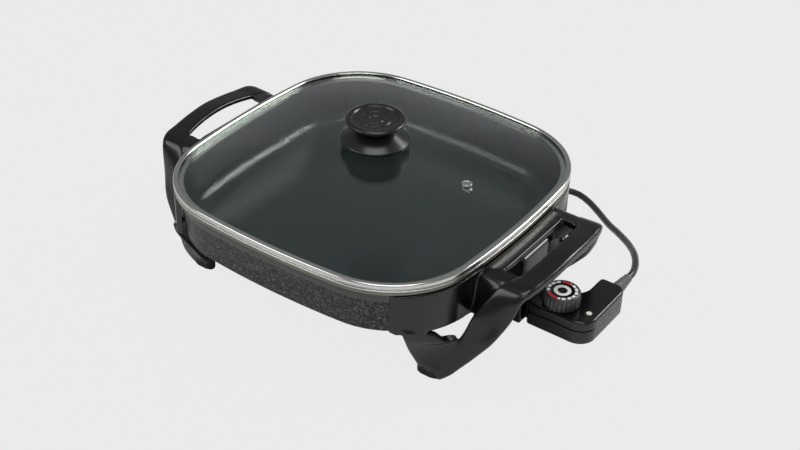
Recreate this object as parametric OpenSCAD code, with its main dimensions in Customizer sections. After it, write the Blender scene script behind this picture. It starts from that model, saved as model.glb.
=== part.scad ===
// Square electric skillet with bowed sides: a cast pan on two leg handles, a lift-off
// glass lid with a steel band, and a plug-in heat control with its dial and cord.
// The floor is z = 0. The heat control plugs in on the +X side.

/* [Pan] */
// Outside width of the pan wall, just under the lip
pan_w = 304; // [280:1:320]
// Radius of the pan's corners, seen from above
pan_corner_r = 83; // [70:1:95]
// Radius of the slight outward bow of each side
side_bow_r = 827; // [600:1:2000]
// Height of the pan's underside above the floor
pan_clearance = 60; // [58:1:80]
// Inside depth of the pan, from its lip to its cooking floor
pan_depth = 43; // [36:1:60]
// Thickness of the pan's wall
pan_wall = 3.5; // [2.5:0.1:5]
// Thickness of the pan's floor
pan_floor = 5; // [4:0.1:7]
// How far the wall draws in between the lip and the floor
wall_draw = 4; // [2:0.5:8]
// Inside radius between the wall and the cooking floor
floor_fillet = 17; // [10:1:22]
// Outside radius between the wall and the underside
base_fillet = 9; // [4:1:12]
// How far the rolled lip stands out from the wall
lip_out = 4.5; // [3:0.1:6]
// Thickness of the rolled lip
lip_t = 3.6; // [2.5:0.1:5]

/* [Heater] */
// Diameter of the heating element's sheath
sheath_d = 8; // [6:0.1:9]
// Half width of the element's square loop
loop_half = 88; // [70:1:100]
// Bend radius of the loop
loop_bend_r = 34; // [20:1:45]
// Distance between the two terminal pins
pin_pitch = 18; // [16:1:24]
// Diameter of a terminal pin
pin_d = 4.8; // [4:0.1:6]
// Height of the pins and the probe above the floor
pin_z = 45; // [42:0.5:47]
// How far the pins stand out of their block
pin_reach = 24; // [18:1:28]

/* [Handles] */
// How far a grip's outer edge stands out from the pan wall
grip_reach = 57; // [50:1:68]
// Thickness of the grip
grip_t = 7.5; // [6:0.5:10]
// Thickness of a leg
leg_t = 6; // [5:0.5:8]
// Thickness of the cheek that hugs the pan wall
cheek_t = 4.5; // [3.5:0.5:6]
// Height of the cheek
cheek_h = 40; // [30:1:42]
// Half of the span along Y that the cheek covers
cheek_half = 134; // [125:1:136]
// Width of the ledge between the pan and the finger opening
ledge_w = 19; // [14:1:21]
// Width of the plug-in tunnel
tunnel_w = 40; // [38:1:50]
// Wall thickness of the tunnel
tunnel_wall = 3; // [2:0.5:4]
// Distance of the handle screws from the middle of the handle
screw_offset = 48; // [40:1:60]

/* [Lid] */
// How far the lid's steel band stands out beyond the pan wall
band_out = 5; // [4:0.5:7]
// Width of the band's flat top
band_w = 5; // [4:0.5:9]
// Height of the band
band_h = 7; // [6:0.5:9]
// Thickness of the band's sheet steel
band_sheet = 0.8; // [0.6:0.1:1.2]
// Thickness of the glass
glass_t = 4; // [3:0.5:5]
// Rise of the glass from its edge to its middle
dome_rise = 24.5; // [14:0.5:30]
// Distance of the steam vent from the middle of the lid
vent_offset = 95; // [70:1:110]
// Angle of the steam vent round the middle of the lid, from the control's side
vent_turn = 4; // [-45:1:45]
// Radius of the vent grommet's flange
vent_r = 5; // [4:0.5:7]

/* [Knob] */
// Radius of the knob's top disc
knob_top_r = 27.5; // [24:0.5:32]
// Radius of the knob's skirt
knob_skirt_r = 32; // [28:0.5:36]
// Radius of the knob's waist
knob_waist_r = 16; // [13:0.5:20]
// Height of the knob above the glass
knob_h = 29; // [26:0.5:36]

/* [Heat control] */
// Distance of the control's outer end from the pan wall
control_reach = 86; // [82:1:100]
// Half width of the control's main housing
control_half = 17; // [17:0.5:20]
// Y of the end of the housing, where the cord leaves
control_tail = 54; // [50:1:60]
// Height of the housing's underside above the floor
control_z = 31; // [26:0.5:32]
// Height of the lower shell
lower_h = 14; // [13:0.5:18]
// Height of the upper shell
upper_h = 9.5; // [9:0.5:13]
// Wall thickness of the shells
shell_t = 2; // [1.6:0.1:2.5]
// Diameter of the dial
dial_d = 33; // [28:0.5:34]
// Height of the dial
dial_h = 13; // [10:0.5:16]
// Number of grip flutes round the dial
dial_flutes = 30; // [16:1:40]
// Diameter of the dial's spindle
spindle_d = 6; // [5:0.5:7]
// Diameter of the temperature probe
probe_d = 6; // [5:0.2:7]
// Length of the probe beyond the pins' block
probe_len = 62; // [40:1:70]

/* [Cord] */
// Diameter of the cord
cord_d = 6.5; // [6:0.1:7]
// Radius at the middle of the coil's turns
coil_r = 35; // [33:1:36]
// Length of the tapered strain relief
relief_l = 26; // [22:1:30]

/* [Fits] */
// Gap between pieces of different bodies
gap = 0.3; // [0.2:0.05:0.4]
// Radial running clearance of a turning or sliding shaft
run = 0.06; // [0.03:0.01:0.09]

/* [Hidden] */
$fn = 48;

half = pan_w / 2;
lip_z = pan_clearance + pan_floor + pan_depth;
band_z = lip_z + gap;
rim_z = band_z + band_h;
glass_z = band_z + band_sheet + gap;
// The whole model is moved along X so that the origin lies under the middle of its box
mid_x = ((half + control_reach) - (half + grip_reach)) / 2;

// ---- Outline of a square with bowed sides and round corners, drawn in by d ----
bow_m = side_bow_r - half;
bow_k = side_bow_r - pan_corner_r;
corner_c = (sqrt(2 * bow_k * bow_k - bow_m * bow_m) - bow_m) / 2;
side_a = atan(corner_c / (corner_c + bow_m));
SIDE_STEPS = 4;
CORNER_STEPS = 10;

function turned(p, a) = [p[0] * cos(a) - p[1] * sin(a), p[0] * sin(a) + p[1] * cos(a)];

function quarter(d) = concat(
  [for (i = [0:SIDE_STEPS - 1]) let (t = -side_a + 2 * side_a * i / SIDE_STEPS)
    [-bow_m + (side_bow_r - d) * cos(t), (side_bow_r - d) * sin(t)]],
  [for (i = [0:CORNER_STEPS - 1]) let (t = side_a + (90 - 2 * side_a) * i / CORNER_STEPS)
    [corner_c + (pan_corner_r - d) * cos(t), corner_c + (pan_corner_r - d) * sin(t)]]);

function outline(d) = [for (q = [0:3], p = quarter(d)) turned(p, 90 * q)];

// Half width of the outline at a given height y, on the straight part or in the corner
function edge_x(y, d) = let (a = abs(y))
  a < (side_bow_r - d) * sin(side_a)
    ? -bow_m + sqrt(pow(side_bow_r - d, 2) - a * a)
    : corner_c + sqrt(max(pow(pan_corner_r - d, 2) - pow(a - corner_c, 2), 0));

function raised(points, z) = [for (p = points) [p[0], p[1], z]];
function scaled(points, s, z) = [for (p = points) [p[0] * s, p[1] * s, z]];

// A closed skin over rings that all have the same number of points
module loft(rings) {
  n = len(rings[0]);
  last = len(rings) - 1;
  sides = [for (k = [0:last - 1], i = [0:n - 1]) let (j = (i + 1) % n)
    each [[k * n + i, (k + 1) * n + i, (k + 1) * n + j], [k * n + i, (k + 1) * n + j, k * n + j]]];
  first_cap = [for (i = [0:n - 1]) i];
  last_cap = [for (i = [n - 1:-1:0]) last * n + i];
  polyhedron(points = [for (r = rings) each r], faces = concat(sides, [first_cap, last_cap]),
    convexity = 6);
}

function arc(cx, cy, r, a0, a1, steps = 6) =
  [for (i = [0:steps]) let (t = a0 + (a1 - a0) * i / steps) [cx + r * cos(t), cy + r * sin(t)]];

// Smooth curve through points
function smooth(p0, p1, p2, p3, t) = 0.5 * (2 * p1 + (p2 - p0) * t
  + (2 * p0 - 5 * p1 + 4 * p2 - p3) * t * t + (3 * p1 - p0 - 3 * p2 + p3) * t * t * t);
function curve(points, steps) = let (n = len(points),
  p = concat([2 * points[0] - points[1]], points, [2 * points[n - 1] - points[n - 2]]))
  concat([for (i = [0:n - 2], k = [0:steps - 1]) smooth(p[i], p[i + 1], p[i + 2], p[i + 3], k / steps)],
    [points[n - 1]]);
function unit(v) = v / norm(v);

// ---- Pan ----
inner_d = pan_wall + wall_draw;
floor_z = pan_clearance + pan_floor;
FILLET_STEPS = 5;

module pan_shell() {
  base_rings = [for (i = [0:FILLET_STEPS]) let (t = 90 * i / FILLET_STEPS)
    raised(outline(wall_draw + base_fillet * (1 - sin(t))), pan_clearance + base_fillet * (1 - cos(t)))];
  lip_rings = [
    raised(outline(0), lip_z - lip_t),
    raised(outline(-lip_out + 0.8), lip_z - lip_t),
    raised(outline(-lip_out), lip_z - lip_t + 0.9),
    raised(outline(-lip_out), lip_z - 0.9),
    raised(outline(-lip_out + 0.8), lip_z),
    raised(outline(pan_wall - 0.8), lip_z),
    raised(outline(pan_wall), lip_z - 0.9)];
  floor_rings = [for (i = [0:FILLET_STEPS]) let (t = 90 * i / FILLET_STEPS)
    raised(outline(inner_d + floor_fillet * (1 - cos(t))), floor_z + floor_fillet * (1 - sin(t)))];
  loft(concat(base_rings, lip_rings, floor_rings));
}

boss_d = 14;
block_x = half - 26;
block_l = 16;
block_w = pin_pitch + 20;
probe_bore_x = block_x - probe_len - 2;
screw_d = 4;
screw_x = half - wall_draw - base_fillet - 8;
screw_boss_h = 6;
screw_boss_z = pan_clearance - screw_boss_h;

module pan() {
  color("dimgray") difference() {
    union() {
      pan_shell();
      // Cast boss under the floor that takes the temperature probe
      translate([probe_bore_x - 6, -boss_d / 2, pin_z])
        cube([block_x - probe_bore_x + 6, boss_d, pan_clearance - pin_z + 1]);
      translate([probe_bore_x - 6, 0, pin_z])
        rotate([0, 90, 0]) cylinder(d = boss_d, h = block_x - probe_bore_x + 6);
      // Round bosses under the floor that the handle screws go up into
      for (side = [-1, 1], y = [-screw_offset, screw_offset])
        translate([side * screw_x, y, screw_boss_z]) cylinder(d = 11, h = screw_boss_h + 1);
    }
    translate([probe_bore_x, 0, pin_z]) rotate([0, 90, 0])
      cylinder(d = probe_d + 2 * run, h = probe_len + 20);
    for (side = [-1, 1], y = [-screw_offset, screw_offset])
      translate([side * screw_x, y, screw_boss_z - 1])
        cylinder(d = screw_d, h = screw_boss_h + 1 + pan_floor / 2);
  }
}

// ---- Heating element, terminal block and pins ----
element_z = pan_clearance - sheath_d / 2 + 1;
element_end_x = block_x + 1;

module element_corner(x, y, a) {
  translate([x, y, element_z]) rotate([0, 0, a])
    rotate_extrude(angle = 90) translate([loop_bend_r, 0]) circle(d = sheath_d);
}

module element_run(p, q) {
  translate([p[0], p[1], element_z])
    rotate([0, 90, atan2(q[1] - p[1], q[0] - p[0])]) cylinder(d = sheath_d, h = norm(q - p));
}

module heating_element() {
  c = loop_half - loop_bend_r;
  y_end = pin_pitch / 2 + 4;
  out_r = 12;
  color("gray") {
    for (s = [-1, 1]) {
      element_run([-c, s * loop_half], [c, s * loop_half]);
      element_run([-loop_half, 0], [-loop_half, s * c]);
      element_run([loop_half, s * (y_end + out_r)], [loop_half, s * c]);
      element_run([loop_half + out_r, s * y_end], [element_end_x, s * y_end]);
    }
    element_corner(c, c, 0);
    element_corner(-c, c, 90);
    element_corner(-c, -c, 180);
    element_corner(c, -c, 270);
    translate([loop_half + out_r, y_end + out_r, element_z]) rotate([0, 0, 180])
      rotate_extrude(angle = 90) translate([out_r, 0]) circle(d = sheath_d);
    translate([loop_half + out_r, -y_end - out_r, element_z]) rotate([0, 0, 90])
      rotate_extrude(angle = 90) translate([out_r, 0]) circle(d = sheath_d);
  }
}

module terminal_block() {
  color("gainsboro") difference() {
    translate([block_x, -block_w / 2, pin_z - 7])
      cube([block_l, block_w, pan_clearance - pin_z + 7]);
    for (s = [-1, 1]) {
      translate([block_x - 1, s * pin_pitch / 2, pin_z]) rotate([0, 90, 0])
        cylinder(d = pin_d, h = block_l + 2);
      translate([block_x - 1, s * (pin_pitch / 2 + 4), element_z]) rotate([0, 90, 0])
        cylinder(d = sheath_d, h = element_end_x - block_x + 1);
    }
    translate([block_x - 1, 0, pin_z]) rotate([0, 90, 0]) cylinder(d = probe_d + 1, h = block_l + 2);
  }
}

module terminal_pins() {
  color("silver") for (s = [-1, 1]) translate([block_x, s * pin_pitch / 2, pin_z]) rotate([0, 90, 0]) {
    cylinder(d = pin_d, h = block_l + pin_reach - 1);
    translate([0, 0, block_l + pin_reach - 1]) cylinder(d1 = pin_d, d2 = pin_d - 1.6, h = 1);
  }
}

// ---- Handles ----
// Free edges of the grip and leg band on the -Y half, from the foot to the middle of the
// grip: distances out from the pan wall, along Y, and down from the lid's rim
rise = rim_z;
INNER_EDGE = [[-30, -94, 120], [-20, -100, 104], [-10, -100, 92], [-3, -95, 80], [5, -88, 62],
  [12, -84, 42], [19.5, -70, 27], [27, -58, 18], [33.5, -42, 12.4], [36.5, -22, 8.3], [37, 0, 7]];
OUTER_EDGE = [[-13, -94, 120], [0, -97, 106], [9, -94, 95], [20, -90.5, 80], [32, -86, 62],
  [42.5, -75.5, 42], [46, -68, 26], [49, -57, 17], [53.5, -42, 12.8], [56.5, -22, 9], [57, 0, 7.6]];
// Both edges of the plate that runs from the foot up to the cheek's end, under the pan's corner
STRUT_EDGE = [[-32, -98, 108], [-30, -104, 100], [-28, -112, 88], [-26, -121, 74], [-24, -130, 58],
  [-23, -133, 46]];
STRUT_SIDE = [[-8, -98, 108], [-2, -99, 98], [0, -99, 86], [-4, -104, 75], [-13, -111, 63],
  [-16, -118, 46]];
// Edges of the web between the cheek and the grip's shoulder
WEB_WALL = [[-2, -88, 52], [0, -82, 42], [1, -74, 30], [1, -62, 17]];
WEB_GRIP = [[11, -86.5, 52], [15, -83, 41], [21.5, -71.5, 28.5], [29.5, -56, 16.5]];
REACH_MADE = 57;
FOOT_DROP = 120;

function placed(p) = let (k = p[0] > 0 ? grip_reach / REACH_MADE : 1)
  [half + p[0] * k, p[1], p[2] > 50 ? rise - 50 - (p[2] - 50) * (rise - 45) / (FOOT_DROP - 50)
    : rise - p[2]];
function mirrored(points) = [for (i = [len(points) - 2:-1:0]) [points[i][0], -points[i][1], points[i][2]]];
function whole(points) = let (p = [for (q = points) placed(q)]) concat(p, mirrored(p));

BAND_STEPS = 3;
SECTION = 14;

// Rounded section between an inner and an outer edge, hanging below the face they span
// and thicker towards its outer edge
OUTER_SWELL = 0.3;
function section(inner, outer, n, t) = let (a = (outer - inner) / 2, m = (inner + outer) / 2)
  [for (i = [0:SECTION - 1]) let (w = -360 * i / SECTION, c = cos(w), s = sin(w),
      across = sign(c) * pow(abs(c), 0.5),
      depth = (1 - sign(s) * pow(abs(s), 0.6)) / 2)
    m + a * across - n * t * depth * (1 + OUTER_SWELL * across)];

module band(inner_points, outer_points, steps, t_ends, t_middle) {
  inner = curve(inner_points, steps);
  outer = curve(outer_points, steps);
  last = len(inner) - 1;
  loft([for (k = [0:last]) let (
      a = unit(outer[k] - inner[k]),
      k0 = max(k - 1, 0),
      k1 = min(k + 1, last),
      along = unit(inner[k1] + outer[k1] - inner[k0] - outer[k0]),
      n = unit(cross(a, along)),
      t = t_ends + (t_middle - t_ends) * pow(sin(180 * k / last), 1.5))
    section(inner[k], outer[k], n, t)]);
}

cheek_z = lip_z - lip_t - 1 - cheek_h;
pan_gap = 0.4;

// Plan of the cheek: a strip along the pan's wall
module cheek_plan(t) {
  steps = 28;
  inside = [for (i = [0:steps]) let (y = -cheek_half + 2 * cheek_half * i / steps)
    [edge_x(y, -pan_gap), y]];
  outside = [for (i = [steps:-1:0]) let (y = -cheek_half + 2 * cheek_half * i / steps)
    [edge_x(y, -pan_gap - t), y]];
  polygon(concat(inside, outside));
}

ledge_half = 78;
ledge_t = 6;
module ledge_plan() {
  steps = 20;
  inside = [for (i = [0:steps]) let (y = -ledge_half + 2 * ledge_half * i / steps)
    [edge_x(y, -pan_gap), y]];
  polygon(concat(inside, arc(half + ledge_w - 12, ledge_half - 12, 12, 90, 0),
    arc(half + ledge_w - 12, 12 - ledge_half, 12, 0, -90)));
}

module foot(side) {
  translate([half - 24, side * 93, 0]) hull() {
    translate([-5, 0, 0]) cylinder(d = 10, h = 14, $fn = 24);
    translate([7, 0, 0]) cylinder(d = 10, h = 14, $fn = 24);
  }
}

// Lug that reaches under the pan to a screw boss, and the short wall that carries it
lug_t = 4;
lug_w = 14;
lug_z = screw_boss_z - lug_t;
module lug(y) {
  wall_x = edge_x(y, -pan_gap);
  translate([screw_x, y, lug_z]) cylinder(d = lug_w, h = lug_t);
  translate([screw_x, y - lug_w / 2, lug_z]) cube([wall_x + cheek_t - screw_x, lug_w, lug_t]);
  translate([wall_x - 3, y - lug_w / 2, lug_z]) cube([cheek_t + 3, lug_w, cheek_z + 4 - lug_z]);
}

module handle_form() {
  intersection() {
    union() {
      band(whole(INNER_EDGE), whole(OUTER_EDGE), BAND_STEPS, leg_t, grip_t);
      for (side = [-1, 1]) mirror([0, side > 0 ? 1 : 0, 0]) {
        band([for (p = STRUT_EDGE) placed(p)], [for (p = STRUT_SIDE) placed(p)], 3, leg_t, leg_t);
        band([for (p = WEB_WALL) placed(p)], [for (p = WEB_GRIP) placed(p)], 3, leg_t, leg_t);
      }
      for (side = [-1, 1]) foot(side);
    }
    // The feet end flat on the floor
    translate([0, -200, 0]) cube([400, 400, 400]);
  }
  translate([0, 0, cheek_z]) linear_extrude(cheek_h) cheek_plan(cheek_t);
  translate([0, 0, cheek_z + cheek_h - ledge_t]) linear_extrude(ledge_t) ledge_plan();
  for (side = [-1, 1]) lug(side * screw_offset);
}

module handle_cuts() {
  // The pan's own space, so that nothing of the handle reaches into its wall
  translate([0, 0, pan_clearance]) linear_extrude(lip_z - pan_clearance) polygon(outline(-pan_gap));
  for (y = [-screw_offset, screw_offset])
    translate([screw_x, y, lug_z - 1]) cylinder(d = screw_d + 0.6, h = lug_t + 2);
}

tunnel_x0 = block_x + block_l + 2;
tunnel_x1 = half + ledge_w + 3;
tunnel_top = cheek_z + cheek_h - ledge_t + 1;
tunnel_z = control_z - 1;

module tunnel() {
  translate([half + 0.5, -tunnel_w / 2, tunnel_z])
    cube([tunnel_x1 - half - 0.5, tunnel_w, tunnel_top - tunnel_z]);
  translate([tunnel_x0, -tunnel_w / 2, tunnel_z])
    cube([tunnel_x1 - tunnel_x0, tunnel_w, pan_clearance - 1 - tunnel_z]);
}

nose_half = control_half - 3.5;
nose_z0 = control_z + 3;
nose_z1 = control_z + lower_h + upper_h - 1.5;

module control_side_handle() {
  color([0.12, 0.12, 0.12]) difference() {
    union() {
      handle_form();
      tunnel();
    }
    handle_cuts();
    // Mouth of the tunnel, where the heat control's nose goes in
    translate([tunnel_x0 - 1, -tunnel_w / 2 + tunnel_wall, tunnel_z + 2])
      cube([60, tunnel_w - 2 * tunnel_wall, pan_clearance - 4 - tunnel_z]);
  }
}

module plain_side_handle() {
  color([0.12, 0.12, 0.12]) mirror([1, 0, 0]) difference() {
    handle_form();
    handle_cuts();
  }
}

washer_t = 1;
// On each lug's lower face, pointing down
module at_handle_screws() {
  for (side = [-1, 1], y = [-screw_offset, screw_offset])
    translate([side * screw_x, y, lug_z]) rotate([180, 0, 0]) children();
}

module handle_washers() {
  color("silver") at_handle_screws() difference() {
    cylinder(d = 9, h = washer_t);
    translate([0, 0, -1]) cylinder(d = screw_d, h = 3);
  }
}

module handle_screws() {
  color("silver") at_handle_screws() {
    translate([0, 0, -lug_t - screw_boss_h - 2]) cylinder(d = screw_d, h = lug_t + screw_boss_h + washer_t + 2.5);
    difference() {
      translate([0, 0, washer_t]) cylinder(d = 7.6, h = 2.4);
      for (a = [0, 90]) rotate([0, 0, a]) translate([-2.4, -0.5, washer_t + 1.2]) cube([4.8, 1, 3]);
    }
  }
}

// ---- Lid ----
glass_edge_d = -band_out + band_sheet + gap;
// Rings of the dome as shares of its edge: a flat rim inside the band, then the curve
dome_edge = 1 - (band_w + 1) / (half + band_out);
DOME_RINGS = [0.14, 0.27, 0.4, 0.54, 0.68, 0.82, dome_edge, 1];
function dome_z(s) = s < dome_edge ? dome_rise * (1 - pow(s / dome_edge, 2.3)) : 0;

module lid_glass() {
  edge = outline(glass_edge_d);
  last = len(DOME_RINGS) - 1;
  under = [for (s = DOME_RINGS) scaled(edge, s, glass_z + dome_z(s))];
  over = [for (i = [last:-1:0]) let (s = DOME_RINGS[i]) scaled(edge, s, glass_z + glass_t + dome_z(s))];
  color([0.8, 0.9, 0.9, 0.35]) difference() {
    loft(concat(under, over));
    translate([0, 0, glass_z]) cylinder(d = knob_screw_d + 1, h = 60);
    rotate([0, 0, vent_turn]) translate([vent_offset, 0, glass_z]) cylinder(r = vent_neck_r, h = 60);
  }
}

module ring_plate(d0, d1, h) {
  linear_extrude(h) difference() {
    polygon(outline(d0));
    polygon(outline(d1));
  }
}

module lid_rim() {
  color("silver") {
    translate([0, 0, band_z]) ring_plate(-band_out, pan_wall + 1.4, band_sheet);
    // Skirt that drops inside the pan's wall and keeps the lid in place
    translate([0, 0, band_z - skirt_drop]) ring_plate(pan_wall + 0.6, pan_wall + 1.4, skirt_drop + 0.1);
    translate([0, 0, band_z + band_sheet]) ring_plate(-band_out, band_sheet - band_out, band_h - 2 * band_sheet);
    translate([0, 0, rim_z - band_sheet]) ring_plate(-band_out, band_w - band_out, band_sheet);
  }
}

skirt_drop = 3;
vent_neck_r = vent_r - 2;
vent_z = glass_z + dome_z(vent_offset / (half - glass_edge_d));
module vent_grommet() {
  color("silver") rotate([0, 0, vent_turn]) translate([vent_offset, 0, 0]) difference() {
    union() {
      translate([0, 0, vent_z - 3]) cylinder(r = vent_neck_r, h = glass_t + 6);
      translate([0, 0, vent_z + glass_t + 0.8]) cylinder(r = vent_r, h = 1.2);
      translate([0, 0, vent_z - 2.6]) cylinder(r = vent_r, h = 1.2);
    }
    translate([0, 0, vent_z - 10]) cylinder(r = vent_neck_r - 1.2, h = 30);
  }
}

// ---- Knob ----
crown_z = glass_z + dome_z(DOME_RINGS[0]);
glass_top = crown_z + glass_t;
knob_screw_d = 5;
gasket_t = 1.2;
seat_z = glass_top + gasket_t;
knob_top = glass_top + knob_h;

module knob_gasket() {
  color([0.2, 0.2, 0.2]) translate([0, 0, glass_top]) difference() {
    cylinder(r = knob_waist_r + 2, h = gasket_t);
    translate([0, 0, -1]) cylinder(d = knob_screw_d, h = 4);
  }
}

// Skirted base: a flared foot with a conical upper face and a narrow waist
module knob_base() {
  color([0.08, 0.08, 0.08]) translate([0, 0, seat_z]) difference() {
    rotate_extrude() polygon(concat(
      [[0, 0], [knob_waist_r + 1, 0], [knob_waist_r + 2, 3.5], [knob_skirt_r - 3, 4.2]],
      arc(knob_skirt_r - 1.7, 6, 1.7, -80, 60),
      arc(knob_waist_r + 9, 20.5, 9, -112, -180, 8),
      [[0, 20.5]]));
    translate([0, 0, -1]) cylinder(d = knob_screw_d, h = 18);
  }
}

// Top disc with a shallow dish, held on the waist
module knob_cap() {
  z0 = seat_z + 20.5;
  h = knob_top - z0;
  color([0.08, 0.08, 0.08]) translate([0, 0, z0]) difference() {
    rotate_extrude() polygon(concat(
      [[0, 0], [knob_waist_r, 0], [knob_top_r - 4, h * 0.35]],
      arc(knob_top_r - 2.2, h - 2.2, 2.2, -60, 90),
      arc(0, h + 98, 100, -78.5, -90, 4)));
  }
}

module knob_washer() {
  color("silver") translate([0, 0, crown_z - 1.2]) difference() {
    cylinder(r = 9, h = 1.2);
    translate([0, 0, -1]) cylinder(d = knob_screw_d, h = 4);
  }
}

module knob_screw() {
  z0 = crown_z - 1.2;
  color("silver") difference() {
    union() {
      translate([0, 0, z0 - 2.6]) cylinder(d = 9, h = 2.6);
      translate([0, 0, z0 - 1]) cylinder(d = knob_screw_d, h = seat_z + 14 - z0);
    }
    for (a = [0, 90]) rotate([0, 0, a]) translate([-2.8, -0.6, z0 - 3]) cube([5.6, 1.2, 1.6]);
  }
}

// ---- Heat control ----
control_x0 = half + 26;
control_x1 = half + control_reach;
seam_z = control_z + lower_h;
control_top = seam_z + upper_h;
dial_x = half + 50;
tail_x = control_x1 - 26;

// Plan of the housing, drawn in by d: a body round the dial, and a tail for the cord
function control_plan(d) = concat(
  arc(control_x0 + 3, 3 - control_half, 3 - d, 180, 270, 3),
  arc(control_x1 - 16, 16 - control_half, 16 - d, 270, 360),
  arc(control_x1 - 10, control_tail - 10, 10 - d, 0, 90),
  arc(tail_x + 4, control_tail - 4, 4 - d, 90, 180, 3),
  arc(tail_x - 18, control_half + 18, 18 + d, 360, 270),
  arc(control_x0 + 3, control_half - 3, 3 - d, 90, 180, 3));

relief_x = control_x1 - 12;
relief_z = seam_z;
nose_x0 = tunnel_x0 + 1;

module nose_room() {
  translate([control_x0 - 1, -nose_half, nose_z0]) cube([8, 2 * nose_half, nose_z1 - nose_z0]);
}

module relief_room() {
  translate([relief_x, control_tail - 6, relief_z]) rotate([-90, 0, 0]) cylinder(r = 6.5, h = 10);
}

module screw_rooms() {
  for (p = CONTROL_SCREWS) translate([p[0], p[1], control_z - 1]) {
    cylinder(d = 2.6, h = lower_h + 8);
    cylinder(d = 5.2, h = 3.2);
  }
}

CONTROL_SCREWS = [[control_x0 + 22, 6 - control_half], [control_x1 - 14, control_tail - 18]];
module screw_posts(z0, h) {
  for (p = CONTROL_SCREWS) translate([p[0], p[1], z0]) cylinder(d = 7, h = h);
}

module control_lower_shell() {
  color([0.1, 0.1, 0.1]) difference() {
    union() {
      difference() {
        translate([0, 0, control_z]) linear_extrude(lower_h) polygon(control_plan(0));
        translate([0, 0, control_z + shell_t]) linear_extrude(lower_h) polygon(control_plan(shell_t));
      }
      screw_posts(control_z, lower_h);
    }
    nose_room();
    relief_room();
    screw_rooms();
    translate([0, 0, seam_z - 0.15]) linear_extrude(1) polygon(control_plan(-1));
  }
}

module control_upper_shell() {
  color([0.1, 0.1, 0.1]) difference() {
    union() {
      difference() {
        translate([0, 0, seam_z]) linear_extrude(upper_h) polygon(control_plan(0));
        translate([0, 0, seam_z - 1]) linear_extrude(upper_h + 1 - shell_t) polygon(control_plan(shell_t));
      }
      screw_posts(seam_z, upper_h - 1);
      translate([dial_x, 0, control_top - 3]) cylinder(d = spindle_d + 5, h = 3);
    }
    nose_room();
    relief_room();
    screw_rooms();
    translate([dial_x, 0, control_top - 4]) cylinder(d = spindle_d + 2 * run, h = 6);
    translate([lens_x, lens_y, control_top - 5]) cylinder(d = lens_d, h = 8);
  }
}

lens_x = control_x1 - 9;
lens_y = 1;
lens_d = 5;
lens_stand = 0.4;
module indicator_lens() {
  color([0.9, 0.5, 0.2, 0.8]) translate([lens_x, lens_y, control_top - shell_t]) {
    cylinder(d = lens_d, h = shell_t + lens_stand);
    translate([0, 0, -0.8]) cylinder(d = lens_d + 1.6, h = 0.8);
  }
}

module indicator_lamp() {
  color([0.95, 0.8, 0.7]) translate([lens_x, lens_y, control_top - shell_t - 0.8 - 6.5]) {
    cylinder(d = 4, h = 5);
    translate([0, 0, 5]) sphere(d = 3);
  }
}

module control_screws() {
  color("silver") for (p = CONTROL_SCREWS) translate([p[0], p[1], control_z]) {
    translate([0, 0, 0.2]) cylinder(d = 5, h = 2);
    translate([0, 0, 1]) cylinder(d = 2.6, h = lower_h + 5);
  }
}

module control_nose() {
  color([0.25, 0.22, 0.2]) difference() {
    translate([nose_x0, -nose_half, nose_z0])
      cube([control_x0 + 7 - nose_x0, 2 * nose_half, nose_z1 - nose_z0]);
    for (s = [-1, 1]) translate([nose_x0 - 1, s * pin_pitch / 2, pin_z]) rotate([0, 90, 0])
      cylinder(d = sleeve_d, h = 60);
    translate([nose_x0 - 1, 0, pin_z]) rotate([0, 90, 0]) cylinder(d = probe_d, h = 60);
  }
}

sleeve_d = pin_d + 1.6;
module contact_sleeves() {
  color([0.8, 0.65, 0.3]) for (s = [-1, 1]) translate([nose_x0 + 1, s * pin_pitch / 2, pin_z]) rotate([0, 90, 0])
    difference() {
      cylinder(d = sleeve_d, h = control_x0 + 14 - nose_x0);
      translate([0, 0, -1]) cylinder(d = pin_d + 2 * run, h = block_x + block_l + pin_reach - nose_x0 + 4);
    }
}

module probe_tube() {
  color("silver") translate([block_x - probe_len, 0, pin_z]) rotate([0, 90, 0]) {
    translate([0, 0, probe_d / 2]) cylinder(d = probe_d, h = control_x0 + 12 - block_x + probe_len - probe_d / 2);
    translate([0, 0, probe_d / 2]) sphere(d = probe_d);
  }
}

works_x = control_x0 + 18;
module thermostat_frame() {
  color("tan") translate([works_x + 1, -6, control_z + shell_t]) cube([30, 12, 5]);
}

module bimetal_strip() {
  color("goldenrod") {
    translate([works_x + 3, -3, control_z + shell_t + 5]) cube([26, 6, 0.8]);
    translate([works_x + 3, -3, control_z + shell_t + 5]) cube([5, 6, 3]);
  }
}

module contact_arm() {
  z0 = control_z + shell_t + 8;
  color("peru") {
    translate([works_x + 3, -3, z0]) cube([24, 6, 0.6]);
    translate([works_x + 24, 0, z0 - 1.2]) cylinder(d = 3.4, h = 1.4);
  }
}

module wire_terminals() {
  color("silver") for (x = [relief_x - 5, relief_x + 1.5])
    translate([x, 14, control_z + shell_t]) difference() {
      cube([4, 12, 6]);
      translate([2, 14, 3]) rotate([90, 0, 0]) cylinder(d = 2, h = 16);
    }
}

// ---- Dial ----
dial_z = control_top + 0.5;
dial_top = dial_z + dial_h;
spindle_z0 = control_z + shell_t + 8.6 + gap;

module dial() {
  color([0.1, 0.1, 0.1]) translate([dial_x, 0, dial_z]) difference() {
    union() {
      cylinder(d = dial_d, h = dial_h - 1);
      translate([0, 0, dial_h - 1]) cylinder(d1 = dial_d, d2 = dial_d - 2, h = 1);
    }
    for (i = [0:dial_flutes - 1]) rotate([0, 0, 360 * i / dial_flutes])
      translate([dial_d / 2 + 0.5, 0, -1]) cylinder(d = 2, h = dial_h - 1.5, $fn = 12);
    translate([0, 0, dial_h - 0.8]) cylinder(r = dial_d / 2 - 2.5, h = 1);
    translate([0, 0, -1]) cylinder(d = spindle_d, h = dial_h - 2);
  }
}

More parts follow.
